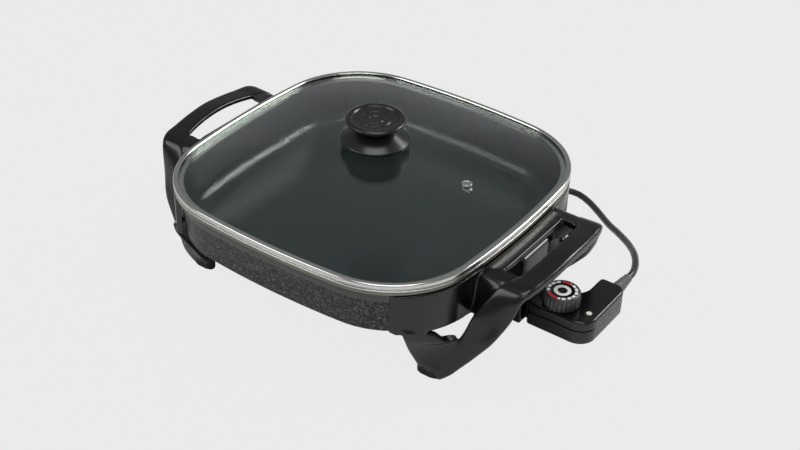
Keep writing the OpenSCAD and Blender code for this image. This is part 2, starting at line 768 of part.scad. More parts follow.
module dial_face() {
  color("whitesmoke") translate([dial_x, 0, dial_top - 0.8]) cylinder(r = dial_d / 2 - 2.6, h = 0.6);
}

module dial_spindle() {
  color("silver") translate([dial_x, 0, spindle_z0]) {
    cylinder(d = spindle_d, h = dial_top - 3 - spindle_z0);
    cylinder(d = 9, h = 1.6);
  }
}

// ---- Cord, coil and plug ----
// Where the cord's middle line runs: from the strain relief down to the floor and round
// behind the pan, and from the coil to the plug
CORD_ROUTE = [[226, 79, 45], [226, 87, 44.8], [223.5, 97, 43.5], [219.7, 106.5, 42], [214.8, 116, 40],
  [208, 127, 37], [200.5, 137.5, 33], [190.5, 150, 28], [179.5, 161.8, 23], [167, 174, 18],
  [154, 185.7, 13], [141, 198, 9], [127, 210.5, 6], [111, 222.5, 4], [95, 229.5, 3.5],
  [82, 228.5, 3.5], [68, 222, 3.5], [53, 211, 3.5], [37, 199, 3.5], [21, 187, 3.5]];
END_ROUTE = [[-28, 194, 18], [-34, 202, 16.5], [-40, 210, 13.5], [-46, 218, 10.5], [-52, 226, 8.5],
  [-58, 234, 8], [-64, 242, 8]];
COIL_X = 0;
COIL_Y = 215;
COIL_TOP = 21.5;
PLUG_AT = [-64, 242, 8];
PLUG_TURN = atan2(8, -6);

module tube(points, d, steps) {
  path = curve(points, steps);
  last = len(path) - 1;
  loft([for (k = [0:last]) let (
      along = unit(path[min(k + 1, last)] - path[max(k - 1, 0)]),
      side = unit(cross([0, 0, 1], along)),
      up = cross(along, side))
    [for (i = [0:9]) path[k] + d / 2 * (side * cos(36 * i) + up * sin(36 * i))]]);
}

module cord_strain_relief() {
  color([0.1, 0.1, 0.1]) translate([relief_x, control_tail, relief_z]) rotate([-90, 0, 0]) {
    translate([0, 0, -3]) cylinder(d = 10, h = 4);
    translate([0, 0, -shell_t - 1]) cylinder(r = 6.5, h = shell_t + 2);
    translate([0, 0, 1]) cylinder(r1 = 6, r2 = cord_d / 2 + 0.6, h = relief_l - 1);
  }
}

module power_cord() {
  color([0.1, 0.1, 0.1]) tube(CORD_ROUTE, cord_d, 2);
}

module cord_coil() {
  w = cord_d / 2 + 0.1;
  color([0.1, 0.1, 0.1]) translate([COIL_X, COIL_Y, 0]) rotate_extrude()
    translate([coil_r - w, 0.2]) square([2 * w, COIL_TOP - 0.2]);
}

module cord_end() {
  color([0.1, 0.1, 0.1]) tube(END_ROUTE, cord_d, 2);
}

module cord_tie() {
  w = cord_d / 2 + 0.1;
  color([0.15, 0.15, 0.15]) translate([COIL_X, COIL_Y + coil_r, 0]) difference() {
    translate([-2, -w - 1, 0]) cube([4, 2 * w + 2, COIL_TOP + 1]);
    translate([-3, -w - 0.1, 0.2]) cube([6, 2 * w + 0.2, COIL_TOP - 0.2]);
  }
}

module plug_frame() {
  translate(PLUG_AT) rotate([0, 0, PLUG_TURN]) children();
}

// Two flat blades, half an inch apart
BLADE_PITCH = 12.7;
module blades() {
  for (s = [-1, 1]) translate([30, s * BLADE_PITCH / 2 - 0.75, -3.2]) cube([21, 1.5, 6.4]);
}

module plug_body() {
  color([0.1, 0.1, 0.1]) plug_frame() difference() {
    union() {
      rotate([0, 90, 0]) cylinder(r1 = cord_d / 2 + 0.4, r2 = 5, h = 12);
      translate([12, -12, -7.5]) cube([22, 24, 15]);
    }
    blades();
  }
}

module plug_blades() {
  color("silver") plug_frame() blades();
}

module place() {
  translate([-mid_x, 0, 0]) children();
}

place() pan();
place() heating_element();
place() terminal_block();
place() terminal_pins();
place() control_side_handle();
place() plain_side_handle();
place() handle_screws();
place() handle_washers();
place() lid_glass();
place() lid_rim();
place() vent_grommet();
place() knob_base();
place() knob_cap();
place() knob_gasket();
place() knob_washer();
place() knob_screw();
place() control_upper_shell();
place() control_lower_shell();
place() control_nose();
place() contact_sleeves();
place() probe_tube();
place() thermostat_frame();
place() bimetal_strip();
place() contact_arm();
place() wire_terminals();
place() control_screws();
place() indicator_lens();
place() indicator_lamp();
place() dial();
place() dial_face();
place() dial_spindle();
place() cord_strain_relief();
place() power_cord();
place() cord_coil();
place() cord_end();
place() cord_tie();
place() plug_body();
place() plug_blades();
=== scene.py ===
import math

import bmesh
import bpy
from mathutils import Matrix, Vector


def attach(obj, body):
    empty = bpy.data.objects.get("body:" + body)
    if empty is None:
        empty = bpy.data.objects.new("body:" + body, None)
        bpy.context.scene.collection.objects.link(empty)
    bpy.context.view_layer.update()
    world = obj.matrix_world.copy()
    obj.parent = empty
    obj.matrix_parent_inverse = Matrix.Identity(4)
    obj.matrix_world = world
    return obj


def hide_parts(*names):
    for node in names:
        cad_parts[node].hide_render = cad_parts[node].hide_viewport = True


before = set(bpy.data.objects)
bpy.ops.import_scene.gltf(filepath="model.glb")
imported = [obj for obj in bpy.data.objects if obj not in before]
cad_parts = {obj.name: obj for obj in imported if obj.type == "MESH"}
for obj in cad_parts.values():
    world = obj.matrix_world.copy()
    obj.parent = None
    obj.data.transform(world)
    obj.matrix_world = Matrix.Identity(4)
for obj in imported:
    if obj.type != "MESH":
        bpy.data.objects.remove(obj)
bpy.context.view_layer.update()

MM = 0.001
MID_X = 14.5  # mm from the middle of the pan to the middle of the whole box

# Sizes in mm, measured from the middle of the pan, with the floor at z = 0
PAN_HALF = 152.0
PAN_CORNER_R = 83.0
SIDE_BOW_R = 827.0
PAN_BASE_Z = 60.0
PAN_FLOOR_Z = 65.0
LIP_Z = 108.0
LIP_OUT = 4.5
LIP_T = 3.6
PAN_WALL = 3.5
WALL_DRAW = 4.0
FLOOR_FILLET = 17.0
BASE_FILLET = 3.5
BAND_Z = 108.3
RIM_Z = 115.3
BAND_OUT = 5.0
BAND_W = 5.0
GLASS_Z = 109.4
GLASS_T = 4.0
DOME_RISE = 24.5
VENT_OFFSET = 95.0
VENT_TURN = 4.0  # degrees round the middle of the lid
SCREW_X = 131.0
SCREW_Y = 48.0
PIN_Z = 45.0
CONTROL_X0 = 178.0
CONTROL_X1 = 238.0
CONTROL_HALF = 17.0
CONTROL_TAIL = 54.0
CONTROL_Z = 31.0
SEAM_Z = 45.0
CONTROL_TOP = 54.5
DIAL_X = 202.0
DIAL_R = 16.5
DIAL_Z = 55.0
DIAL_TOP = 68.0
RELIEF_X = 226.0
CORD_D = 6.5
COIL_R = 35.0
COIL_AT = (0.0, 215.0)
PLUG_AT = (-64.0, 242.0, 8.0)


# ---- Plain tools ----
def point(x, y, z):
    """A place given in mm from the middle of the pan, in the part's own frame in metres."""
    return Vector(((x - MID_X) * MM, y * MM, z * MM))


def make_mesh(name, verts, faces, materials, slots=None, smooth=True):
    """A mesh object from points in mm. slots gives each face the number of its material."""
    mesh = bpy.data.meshes.new(name)
    mesh.from_pydata([point(*v) for v in verts], [], faces)
    for material in materials:
        mesh.materials.append(material)
    for i, face in enumerate(mesh.polygons):
        face.use_smooth = smooth
        if slots:
            face.material_index = slots[i]
    bm = bmesh.new()
    bm.from_mesh(mesh)
    bmesh.ops.recalc_face_normals(bm, faces=bm.faces)
    bm.to_mesh(mesh)
    bm.free()
    obj = bpy.data.objects.new(name, mesh)
    bpy.context.scene.collection.objects.link(obj)
    return obj


def loft(rings, closed=False):
    """Points and faces of a skin over rings of equally many points, capped or closed on itself."""
    n = len(rings[0])
    verts = [p for ring in rings for p in ring]
    faces = []
    last = len(rings) if closed else len(rings) - 1
    for k in range(last):
        low, high = k * n, (k + 1) % len(rings) * n
        for i in range(n):
            j = (i + 1) % n
            faces.append((low + i, low + j, high + j, high + i))
    if not closed:
        faces.append(tuple(range(n - 1, -1, -1)))
        faces.append(tuple((len(rings) - 1) * n + i for i in range(n)))
    return verts, faces


def joined(parts):
    """Several (points, faces) lists as one."""
    verts, faces = [], []
    for v, f in parts:
        start = len(verts)
        verts += v
        faces += [tuple(i + start for i in face) for face in f]
    return verts, faces


def rounded(corners, radii, steps=5, closed=False):
    """A flat line through corners, each rounded by its own radius."""
    out = []
    n = len(corners)
    for i, p in enumerate(corners):
        r = radii[i] if isinstance(radii, (list, tuple)) else radii
        if r <= 0 or (not closed and i in (0, n - 1)):
            out.append(tuple(p))
            continue
        here = Vector(p)
        before = Vector(corners[(i - 1) % n]) - here
        after = Vector(corners[(i + 1) % n]) - here
        half_turn = before.angle(after) / 2
        reach = min(r / max(math.tan(half_turn), 1e-3), before.length * 0.49, after.length * 0.49)
        a = here + before.normalized() * reach
        b = here + after.normalized() * reach
        for k in range(steps + 1):
            t = k / steps
            out.append(tuple(a * (1 - t) ** 2 + here * (2 * t * (1 - t)) + b * t * t))
    return out


def smooth_line(points, steps):
    """A smooth line through points."""
    pts = [Vector(p) for p in points]
    pts = [2 * pts[0] - pts[1]] + pts + [2 * pts[-1] - pts[-2]]
    out = []
    for i in range(len(pts) - 3):
        p0, p1, p2, p3 = pts[i:i + 4]
        for k in range(steps):
            t = k / steps
            out.append(0.5 * (2 * p1 + (p2 - p0) * t + (2 * p0 - 5 * p1 + 4 * p2 - p3) * t * t
                              + (3 * p1 - p0 - 3 * p2 + p3) * t ** 3))
    out.append(pts[-2])
    return out


def lathe(profile, x, y, steps=72):
    """Points and faces of a profile of (radius, z) turned about an upright axis at x, y."""
    verts, faces, rows = [], [], []
    for r, z in profile:
        if r < 1e-4:
            rows.append([len(verts)])
            verts.append((x, y, z))
        else:
            rows.append(list(range(len(verts), len(verts) + steps)))
            verts += disc(x, y, z, r, steps)
    for a, b in zip(rows, rows[1:]):
        for i in range(steps):
            j = (i + 1) % steps
            if len(a) == 1 and len(b) > 1:
                faces.append((a[0], b[i], b[j]))
            elif len(b) == 1 and len(a) > 1:
                faces.append((a[i], a[j], b[0]))
            elif len(a) > 1:
                faces.append((a[i], a[j], b[j], b[i]))
    return verts, faces


def box_form(low, high):
    """Points and faces of a plain block."""
    x0, y0, z0 = low
    x1, y1, z1 = high
    return loft([[(x0, y0, z0), (x1, y0, z0), (x1, y1, z0), (x0, y1, z0)],
                 [(x0, y0, z1), (x1, y0, z1), (x1, y1, z1), (x0, y1, z1)]])


def prism(plan, z0, z1):
    """Points and faces of a flat plan raised from z0 to z1."""
    return loft([[(p[0], p[1], z0) for p in plan], [(p[0], p[1], z1) for p in plan]])


def hull_form(points):
    """Points and faces of the convex skin round points."""
    bm = bmesh.new()
    for p in points:
        bm.verts.new(p)
    result = bmesh.ops.convex_hull(bm, input=bm.verts)
    spare = [v for v in result["geom_interior"] if isinstance(v, bmesh.types.BMVert)]
    bmesh.ops.delete(bm, geom=spare, context="VERTS")
    bm.verts.index_update()
    form = [tuple(v.co) for v in bm.verts], [tuple(v.index for v in f.verts) for f in bm.faces]
    bm.free()
    return form


def disc(x, y, z, r, steps=24):
    """Points round a level circle."""
    return [(x + r * math.cos(2 * math.pi * i / steps), y + r * math.sin(2 * math.pi * i / steps), z)
            for i in range(steps)]


def applied(obj, kind, **settings):
    """Adds a modifier and applies it to the mesh."""
    modifier = obj.modifiers.new(kind.lower(), kind)
    for key, value in settings.items():
        setattr(modifier, key, value)
    bpy.context.view_layer.update()
    graph = bpy.context.evaluated_depsgraph_get()
    mesh = bpy.data.meshes.new_from_object(obj.evaluated_get(graph))
    obj.modifiers.clear()
    old = obj.data
    obj.data = mesh
    bpy.data.meshes.remove(old)
    for face in mesh.polygons:
        face.use_smooth = True


# ---- Materials ----
def srgb(code):
    """An sRGB hex colour as linear numbers."""
    channels = [int(code[i:i + 2], 16) / 255 for i in (0, 2, 4)]
    return [c / 12.92 if c <= 0.04045 else ((c + 0.055) / 1.055) ** 2.4 for c in channels] + [1.0]


def add_node(tree, kind, values=None, links=None, **settings):
    """Adds a node with its settings, socket values and incoming links."""
    new = tree.nodes.new(kind)
    for key, value in settings.items():
        setattr(new, key, value)
    for socket, value in (values or {}).items():
        new.inputs[socket].default_value = value
    for socket, source in (links or {}).items():
        tree.links.new(source, new.inputs[socket])
    return new


def new_material(name, **values):
    """A material with its shader's own values set. Returns it with its node tree and shader."""
    material = bpy.data.materials.new(name)
    material.use_nodes = True
    tree = material.node_tree
    shader = tree.nodes["Principled BSDF"]
    for socket, value in values.items():
        shader.inputs[socket.replace("_", " ")].default_value = value
    return material, tree, shader


def grained_finish(name, base, roughness, grain_mm, bump, spread):
    """A moulded, printed, coated or fired finish: its colour and shine wander a little in patches
    about 22 mm across, and a fine grain softens its highlights."""
    material, tree, shader = new_material(name, Base_Color=srgb(base), Roughness=roughness, IOR=1.5)
    where = add_node(tree, "ShaderNodeTexCoord").outputs["Object"]
    cloud = add_node(tree, "ShaderNodeTexNoise", {"Scale": 45.0, "Detail": 3.0}, {"Vector": where})
    light = [min(c * 1.5, 1.0) for c in srgb(base)[:3]] + [1.0]
    tone = add_node(tree, "ShaderNodeMix", {6: srgb(base), 7: light}, {0: cloud.outputs["Fac"]},
                    data_type="RGBA")
    tree.links.new(tone.outputs[2], shader.inputs["Base Color"])
    shine = add_node(tree, "ShaderNodeMapRange", {"To Min": roughness - spread, "To Max": roughness + spread},
                     {"Value": cloud.outputs["Fac"]})
    tree.links.new(shine.outputs["Result"], shader.inputs["Roughness"])
    grain = add_node(tree, "ShaderNodeTexNoise", {"Scale": 1000 / grain_mm, "Detail": 2.0}, {"Vector": where})
    relief = add_node(tree, "ShaderNodeBump", {"Strength": bump, "Distance": 0.3 * MM},
                      {"Height": grain.outputs["Fac"]})
    tree.links.new(relief.outputs["Normal"], shader.inputs["Normal"])
    return material


def set_stops(node, stops):
    """Gives a colour ramp its (place, hex colour) stops."""
    points = node.color_ramp.elements
    while len(points) < len(stops):
        points.new(0.5)
    for element, (place, code) in zip(points, stops):
        element.position = place
        element.color = srgb(code)


def sprayed_stone():
    """Sprayed stone-look coating on the cast wall: dense grey and black flecks on a dark ground."""
    material, tree, shader = new_material("sprayed_stone_coating", Roughness=0.45, IOR=1.45)
    where = add_node(tree, "ShaderNodeTexCoord").outputs["Object"]
    # The real flecks go down to half a millimetre; they are drawn at 1.4 mm so that they show
    flecks = add_node(tree, "ShaderNodeTexVoronoi", {"Scale": 1000 / 1.4, "Randomness": 1.0},
                      {"Vector": where})
    pick = add_node(tree, "ShaderNodeSeparateColor", links={"Color": flecks.outputs["Color"]})
    colour = add_node(tree, "ShaderNodeValToRGB", links={"Fac": pick.outputs["Red"]})
    colour.color_ramp.interpolation = "CONSTANT"
    set_stops(colour, [(0.0, "050505"), (0.3, "131313"), (0.48, "272727"), (0.66, "3d3d3c"),
                       (0.86, "5c5b59")])
    patches = add_node(tree, "ShaderNodeTexNoise", {"Scale": 1000 / 9.0, "Detail": 3.0}, {"Vector": where})
    soft = add_node(tree, "ShaderNodeMapRange",
                    {"From Min": 0.3, "From Max": 0.7, "To Min": 0.6, "To Max": 1.1},
                    {"Value": patches.outputs["Fac"]})
    tone = add_node(tree, "ShaderNodeVectorMath",
                    links={0: colour.outputs["Color"], "Scale": soft.outputs["Result"]}, operation="SCALE")
    tree.links.new(tone.outputs[0], shader.inputs["Base Color"])
    relief = add_node(tree, "ShaderNodeBump", {"Strength": 0.12, "Distance": 0.3 * MM},
                      {"Height": pick.outputs["Green"]})
    tree.links.new(relief.outputs["Normal"], shader.inputs["Normal"])
    return material


def nonstick_inside():
    """Cured non-stick coating: a dark blue-grey with a soft sheen, faint clouds about 70 mm across
    and a pebbled surface."""
    material, tree, shader = new_material("cured_nonstick_coating", Roughness=0.19, IOR=1.5)
    where = add_node(tree, "ShaderNodeTexCoord").outputs["Object"]
    cloud = add_node(tree, "ShaderNodeTexNoise", {"Scale": 14.0, "Detail": 5.0}, {"Vector": where})
    colour = add_node(tree, "ShaderNodeValToRGB", links={"Fac": cloud.outputs["Fac"]})
    set_stops(colour, [(0.3, "111d1f"), (0.7, "192b2e")])
    tree.links.new(colour.outputs["Color"], shader.inputs["Base Color"])
    # The real pebbling is finer than a millimetre; it is drawn at 1.8 mm so that it shows
    grain = add_node(tree, "ShaderNodeTexVoronoi", {"Scale": 1000 / 1.8}, {"Vector": where})
    relief = add_node(tree, "ShaderNodeBump", {"Strength": 0.3, "Distance": 0.4 * MM},
                      {"Height": grain.outputs["Distance"]})
    tree.links.new(relief.outputs["Normal"], shader.inputs["Normal"])
    return material


def metal_finish(name, base, roughness):
    """A bare, plated or oxidised metal, whose shine wanders slightly in specks about 3 mm across."""
    material, tree, shader = new_material(name, Base_Color=srgb(base), Metallic=1.0, Roughness=roughness)
    where = add_node(tree, "ShaderNodeTexCoord").outputs["Object"]
    specks = add_node(tree, "ShaderNodeTexNoise", {"Scale": 320.0, "Detail": 3.0}, {"Vector": where})
    shine = add_node(tree, "ShaderNodeMapRange", {"To Min": roughness * 0.92, "To Max": roughness * 1.08},
                     {"Value": specks.outputs["Fac"]})
    tree.links.new(shine.outputs["Result"], shader.inputs["Roughness"])
    return material


def tempered_glass():
    """Clear tempered glass with the faint green of thick sheet and the slight waves of bent glass."""
    material, tree, shader = new_material("tempered_sheet_glass", Base_Color=srgb("f2f8f6"), Roughness=0.0,
                                          IOR=1.5, Transmission_Weight=1.0)
    where = add_node(tree, "ShaderNodeTexCoord").outputs["Object"]
    wave = add_node(tree, "ShaderNodeTexNoise", {"Scale": 14.0, "Detail": 1.0}, {"Vector": where})
    relief = add_node(tree, "ShaderNodeBump", {"Strength": 0.05, "Distance": MM},
                      {"Height": wave.outputs["Fac"]})
    tree.links.new(relief.outputs["Normal"], shader.inputs["Normal"])
    return material


STONE = sprayed_stone()
NONSTICK = nonstick_inside()
GLASS = tempered_glass()

# A grained finish gives its colour, roughness, grain in mm, strength of grain and spread of roughness.
# The cured coating left smooth round the lip's foot: dark grey with a soft sheen
SMOOTH_COAT = grained_finish("smooth_cured_coating", "363635", 0.35, 0.6, 0.1, 0.05)
# Moulded phenolic: black and glossy, with a grain that softens its highlights a little
PHENOLIC = grained_finish("moulded_phenolic", "090909", 0.22, 0.5, 0.06, 0.04)
# Polished phenolic: less grain shows. Its black is a little lighter as painted sheen, which adds to its real
# shine to brighten the skirt and cap
KNOB_BLACK_PAINTED_SHEEN = grained_finish("polished_phenolic_painted_sheen", "141516", 0.24, 0.5, 0.04, 0.03)
# The control's phenolic: the same black as the handles with a slightly sharper shine
CONTROL_BLACK = grained_finish("moulded_phenolic_control", "090909", 0.2, 0.5, 0.06, 0.04)
# The dial's satin moulding: dark grey, with more grain than the housing
DIAL_BLACK = grained_finish("satin_moulded_dial", "38383a", 0.26, 0.6, 0.1, 0.05)
# Extruded cord jacket: dark grey with a coarse grain
RUBBER = grained_finish("extruded_cord_jacket", "27282a", 0.3, 0.8, 0.2, 0.06)
# Moulded silicone: dark and matt
SILICONE = grained_finish("moulded_silicone", "232323", 0.55, 0.6, 0.2, 0.05)
# Flexible moulded vinyl: mid grey with a soft sheen
RELIEF_GREY = grained_finish("flexible_moulded_vinyl", "5c5c5e", 0.35, 0.8, 0.2, 0.05)
# Pressed and fired steatite: cream coloured and matt
STEATITE = grained_finish("pressed_steatite", "cfc9b8", 0.6, 0.5, 0.2, 0.05)
# Screen-printed ink: strong in colour, with little shine
PRINT_WHITE = grained_finish("screen_printed_white", "e4e4e2", 0.45, 0.5, 0.05, 0.05)
PRINT_RED = grained_finish("screen_printed_red", "b3202c", 0.45, 0.5, 0.05, 0.05)
# Frosted clear lens: pale and cloudy with a glossy skin. It is drawn opaque
LENS = grained_finish("frosted_clear_lens", "c9c5bc", 0.15, 0.8, 0.02, 0.02)

# A metal gives its colour and roughness.
# Cast aluminium without its coating: a warm grey with a blurred shine
LIP_METAL = metal_finish("bare_cast_aluminium_lip", "7d7a70", 0.34)
# Rolled stainless steel: pale and bright, and the sharpest mirror of the metals
STEEL = metal_finish("rolled_stainless_steel", "cfcfcb", 0.16)
# Zinc plating: grey, and duller than the rolled steel
ZINC = metal_finish("zinc_plated_steel", "a9aaa8", 0.3)
# Nickel plating: bright with a warm tint
NICKEL = metal_finish("nickel_plated_brass", "c3bfb3", 0.22)
# A heater's sheath oxidises as it is used: dark, brownish and dull
SHEATH = metal_finish("oxidised_heater_sheath", "6b6660", 0.5)
# Stamped brass: yellow with a blurred shine
BRASS = metal_finish("stamped_brass", "b08d4c", 0.32)
# Rolled spring metal: a dull bronze
SPRING = metal_finish("rolled_spring_metal", "a08a68", 0.35)


# ---- Outline of a square with bowed sides and round corners, drawn in by d ----
BOW_M = SIDE_BOW_R - PAN_HALF
BOW_K = SIDE_BOW_R - PAN_CORNER_R
CORNER_C = (math.sqrt(2 * BOW_K ** 2 - BOW_M ** 2) - BOW_M) / 2
SIDE_A = math.atan(CORNER_C / (CORNER_C + BOW_M))
SIDE_STEPS = 16
CORNER_STEPS = 24


def quarter(d):
    """Points (x, y) of one bowed side and the corner after it."""
    out = []
    for i in range(SIDE_STEPS):
        t = -SIDE_A + 2 * SIDE_A * i / SIDE_STEPS
        out.append((-BOW_M + (SIDE_BOW_R - d) * math.cos(t), (SIDE_BOW_R - d) * math.sin(t)))
    for i in range(CORNER_STEPS):
        t = SIDE_A + (math.pi / 2 - 2 * SIDE_A) * i / CORNER_STEPS
        out.append((CORNER_C + (PAN_CORNER_R - d) * math.cos(t), CORNER_C + (PAN_CORNER_R - d) * math.sin(t)))
    return out


def outline(d):
    """Points (x, y) of the whole outline."""
    out = []
    for q in range(4):
        c, s = ((1, 0), (0, 1), (-1, 0), (0, -1))[q]
        out += [(x * c - y * s, x * s + y * c) for x, y in quarter(d)]
    return out


def edge_x(y, d):
    """The outline's x at y, on the side that faces +X."""
    a = abs(y)
    if a < (SIDE_BOW_R - d) * math.sin(SIDE_A):
        return -BOW_M + math.sqrt((SIDE_BOW_R - d) ** 2 - a * a)
    return CORNER_C + math.sqrt(max((PAN_CORNER_R - d) ** 2 - (a - CORNER_C) ** 2, 0))


def raised(d, z):
    """The outline as a level ring at height z."""
    return [(x, y, z) for x, y in outline(d)]


# ---- Camera ----
CAMERA_AT = (0.6187, -0.8744, 0.7956)  # metres
CAMERA_AROUND = 34.6  # degrees, as the next two
CAMERA_ABOVE = 34.6
CAMERA_ROLL = 1.89
CAMERA_LENS = 63.2  # mm, on a sensor 36 mm wide


def set_camera():
    """A view from the front right, tilted down and rolled a little."""
    around, above, roll = (math.radians(turn) for turn in (CAMERA_AROUND, CAMERA_ABOVE, CAMERA_ROLL))
    forward = Vector((-math.sin(around) * math.cos(above), math.cos(around) * math.cos(above),
                      -math.sin(above)))
    right0 = forward.cross(Vector((0, 0, 1))).normalized()
    up0 = right0.cross(forward)
    right = right0 * math.cos(roll) + up0 * math.sin(roll)
    up = -right0 * math.sin(roll) + up0 * math.cos(roll)
    data = bpy.data.cameras.new("camera")
    data.sensor_width = 36.0
    data.lens = CAMERA_LENS
    data.clip_end = 50.0
    camera = bpy.data.objects.new("camera", data)
    camera.matrix_world = Matrix.Translation(CAMERA_AT) @ Matrix((right, up, -forward)).transposed().to_4x4()
    bpy.context.scene.collection.objects.link(camera)
    bpy.context.scene.camera = camera


set_camera()

# ---- Cord: from the strain relief to the floor, round behind the pan, coiled, then the plug ----
CORD_ROUTE = [(226, 79, 45), (226, 87, 44.8), (223.5, 97, 43.5), (219.7, 106.5, 42), (214.8, 116, 40),
              (208, 127, 37), (200.5, 137.5, 33), (190.5, 150, 28), (179.5, 161.8, 23), (167, 174, 18),
              (154, 185.7, 13), (141, 198, 9), (127, 210.5, 6), (111, 222.5, 4), (95, 229.5, 3.5),
              (82, 228.5, 3.5), (68, 222, 3.5), (53, 211, 3.5), (37, 199, 3.5)]
END_ROUTE = [(-34, 202, 16.8), (-40, 210, 13.8), (-46, 218, 10.8), (-52, 226, 8.8), (-58, 234, 8.1),
             (-64, 242, 8)]
COIL_TURNS = 2.25
COIL_STEPS = 36
COIL_ENTRY = (21, 187)  # the coil's first point
COIL_Z = 3.5  # the cord's middle where it lies on the floor
COIL_GAP = 0.15


def coil_points():
    """The coil's turns, each lying on the one below, wound the way the cord arrives."""
    start = math.atan2(COIL_ENTRY[1] - COIL_AT[1], COIL_ENTRY[0] - COIL_AT[0])
    count = int(COIL_TURNS * COIL_STEPS)
    return [(COIL_AT[0] + COIL_R * math.cos(start - 2 * math.pi * i / COIL_STEPS),
             COIL_AT[1] + COIL_R * math.sin(start - 2 * math.pi * i / COIL_STEPS),
             COIL_Z + (CORD_D + COIL_GAP) * i / COIL_STEPS) for i in range(count + 1)]


def make_cord():
    """The cord as a round curve, and its length in metres."""
    line = smooth_line(CORD_ROUTE + coil_points() + END_ROUTE, 2)
    data = bpy.data.curves.new("cord", "CURVE")
    data.dimensions = "3D"
    data.bevel_depth = CORD_D / 2 * MM
    data.bevel_resolution = 5
    data.use_fill_caps = True
    spline = data.splines.new("POLY")
    spline.points.add(len(line) - 1)
    for target, p in zip(spline.points, line):
        target.co = (*point(*p), 1)
    spline.use_smooth = True
    data.materials.append(RUBBER)
    cord = bpy.data.objects.new("power_cord_line", data)
    bpy.context.scene.collection.objects.link(cord)
    length = sum((b - a).length for a, b in zip(line, line[1:])) * MM
    return cord, length


def ribbed_taper(at, along, r0, r1, length, ribs, base_r, base_l):
    """Points and faces of a strain relief: a collar, then a taper with ribs."""
    profile = [(0.0, -1.5), (base_r, -1.5), (base_r, base_l - 0.8), (base_r - 0.8, base_l)]
    pitch = (length - base_l - 1) / ribs
    groove = 0.75
    for i in range(ribs):
        z = base_l + pitch * i
        r = r0 + (r1 - r0) * i / ribs
        profile += [(r - groove, z + 0.05), (r - groove, z + pitch * 0.28),
                    (r, z + pitch * 0.45), (r, z + pitch * 0.95)]
    profile += [(r1 + 0.1, length - 0.6), (r1 - 0.3, length), (0.0, length)]
    verts, faces = lathe(profile, 0, 0, 32)
    axis = Vector(along).normalized()
    turn = Vector((0, 0, 1)).rotation_difference(axis)
    return [tuple(Vector(at) + turn @ Vector(v)) for v in verts], faces


def plug_form():
    """The plug's moulded body: a round neck that swells into a flat grip and a square face."""
    # Distance along the plug, half width, half height, and a power: the lower it is, the squarer the section
    stations = [(0, 3.7, 3.7, 1.0), (4, 4.2, 4.1, 1.0), (9, 5.6, 4.8, 0.9), (13, 8.6, 6.2, 0.7),
                (18, 10.8, 7.1, 0.5), (26, 11.6, 7.4, 0.45), (30, 11.9, 7.5, 0.4), (33.2, 11.9, 7.5, 0.4),
                (34, 11.3, 6.9, 0.4)]
    around = 40
    rings = []
    for x, w, h, power in stations:
        ring = []
        for i in range(around):
            t = 2 * math.pi * i / around
            c, s = math.cos(t), math.sin(t)
            ring.append((x, w * math.copysign(abs(c) ** power, c), h * math.copysign(abs(s) ** power, s)))
        rings.append(ring)
    return loft(rings)


# The plug points the way that the cord's last stretch runs
PLUG_TURN = Matrix.Rotation(math.atan2(8, -6), 3, "Z")
BLADE_X0 = 30.0
BLADE_X1 = 51.0
BLADE_Y = 6.35
BLADE_W = 6.4
BLADE_T = 1.5


def at_plug(form):
    """A form drawn along +X, moved to the plug's place and turned as the plug lies."""
    verts, faces = form
    return [tuple(Vector(PLUG_AT) + PLUG_TURN @ Vector(v)) for v in verts], faces


def blade(side):
    """One of the plug's two flat blades, rounded at its tip; side is -1 or 1."""
    y = side * BLADE_Y
    half_w, half_t = BLADE_W / 2, BLADE_T / 2
    corners = [(BLADE_X0, -half_w), (BLADE_X1, -half_w), (BLADE_X1, half_w), (BLADE_X0, half_w)]
    flat = rounded(corners, [0, 1.2, 1.2, 0], 4, closed=True)
    return loft([[(x, y - half_t, z) for x, z in flat], [(x, y + half_t, z) for x, z in flat]])


def coil_tie():
    """A flat strap round the coil's turns."""
    x0, x1 = COIL_AT[0] - 2.0, COIL_AT[0] + 2.0
    mid = COIL_AT[1] + COIL_R
    outside = [(mid - 4.2, 0.1), (mid + 4.2, 0.1), (mid + 4.2, 22.3), (mid - 4.2, 22.3)]
    inside = [(mid - 3.5, 0.7), (mid + 3.5, 0.7), (mid + 3.5, 21.7), (mid - 3.5, 21.7)]
    rings = []
    for (a, b), (c, d) in zip(rounded(outside, 1.6, 4, closed=True), rounded(inside, 1.2, 4, closed=True)):
        rings.append([(x0, a, b), (x1, a, b), (x1, c, d), (x0, c, d)])
    return loft(rings, closed=True)


cord, cord_length = make_cord()
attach(cord, "heat_control")
plug = make_mesh("plug_moulding", *at_plug(plug_form()), [RUBBER])
prongs = make_mesh("plug_prongs", *joined([at_plug(blade(-1)), at_plug(blade(1))]), [NICKEL], smooth=False)
tie = make_mesh("coil_strap", *coil_tie(), [SILICONE])
for piece, node_names in ((plug, ["plug_body"]), (prongs, ["plug_blades"]), (tie, ["cord_tie"])):
    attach(piece, "heat_control")
    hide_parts(*node_names)
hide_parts("power_cord", "cord_coil", "cord_end")

relief_form = ribbed_taper(at=(RELIEF_X, CONTROL_TAIL, SEAM_Z), along=(0, 1, 0), r0=6.0,
                           r1=CORD_D / 2 + 0.5, length=26, ribs=6, base_r=6.2, base_l=3.0)
relief = make_mesh("ribbed_strain_relief", *relief_form, [RELIEF_GREY])
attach(relief, "heat_control")
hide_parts("cord_strain_relief")


# ---- Pan ----
OUTSIDE, LIP, SMOOTH, INSIDE = range(4)  # the pan's finishes, in the order of its material slots
SPRAY_TOP = 94.0


def quarter_arc(steps):
    """Angles of a quarter turn in even steps."""
    return [math.pi / 2 * i / steps for i in range(steps + 1)]


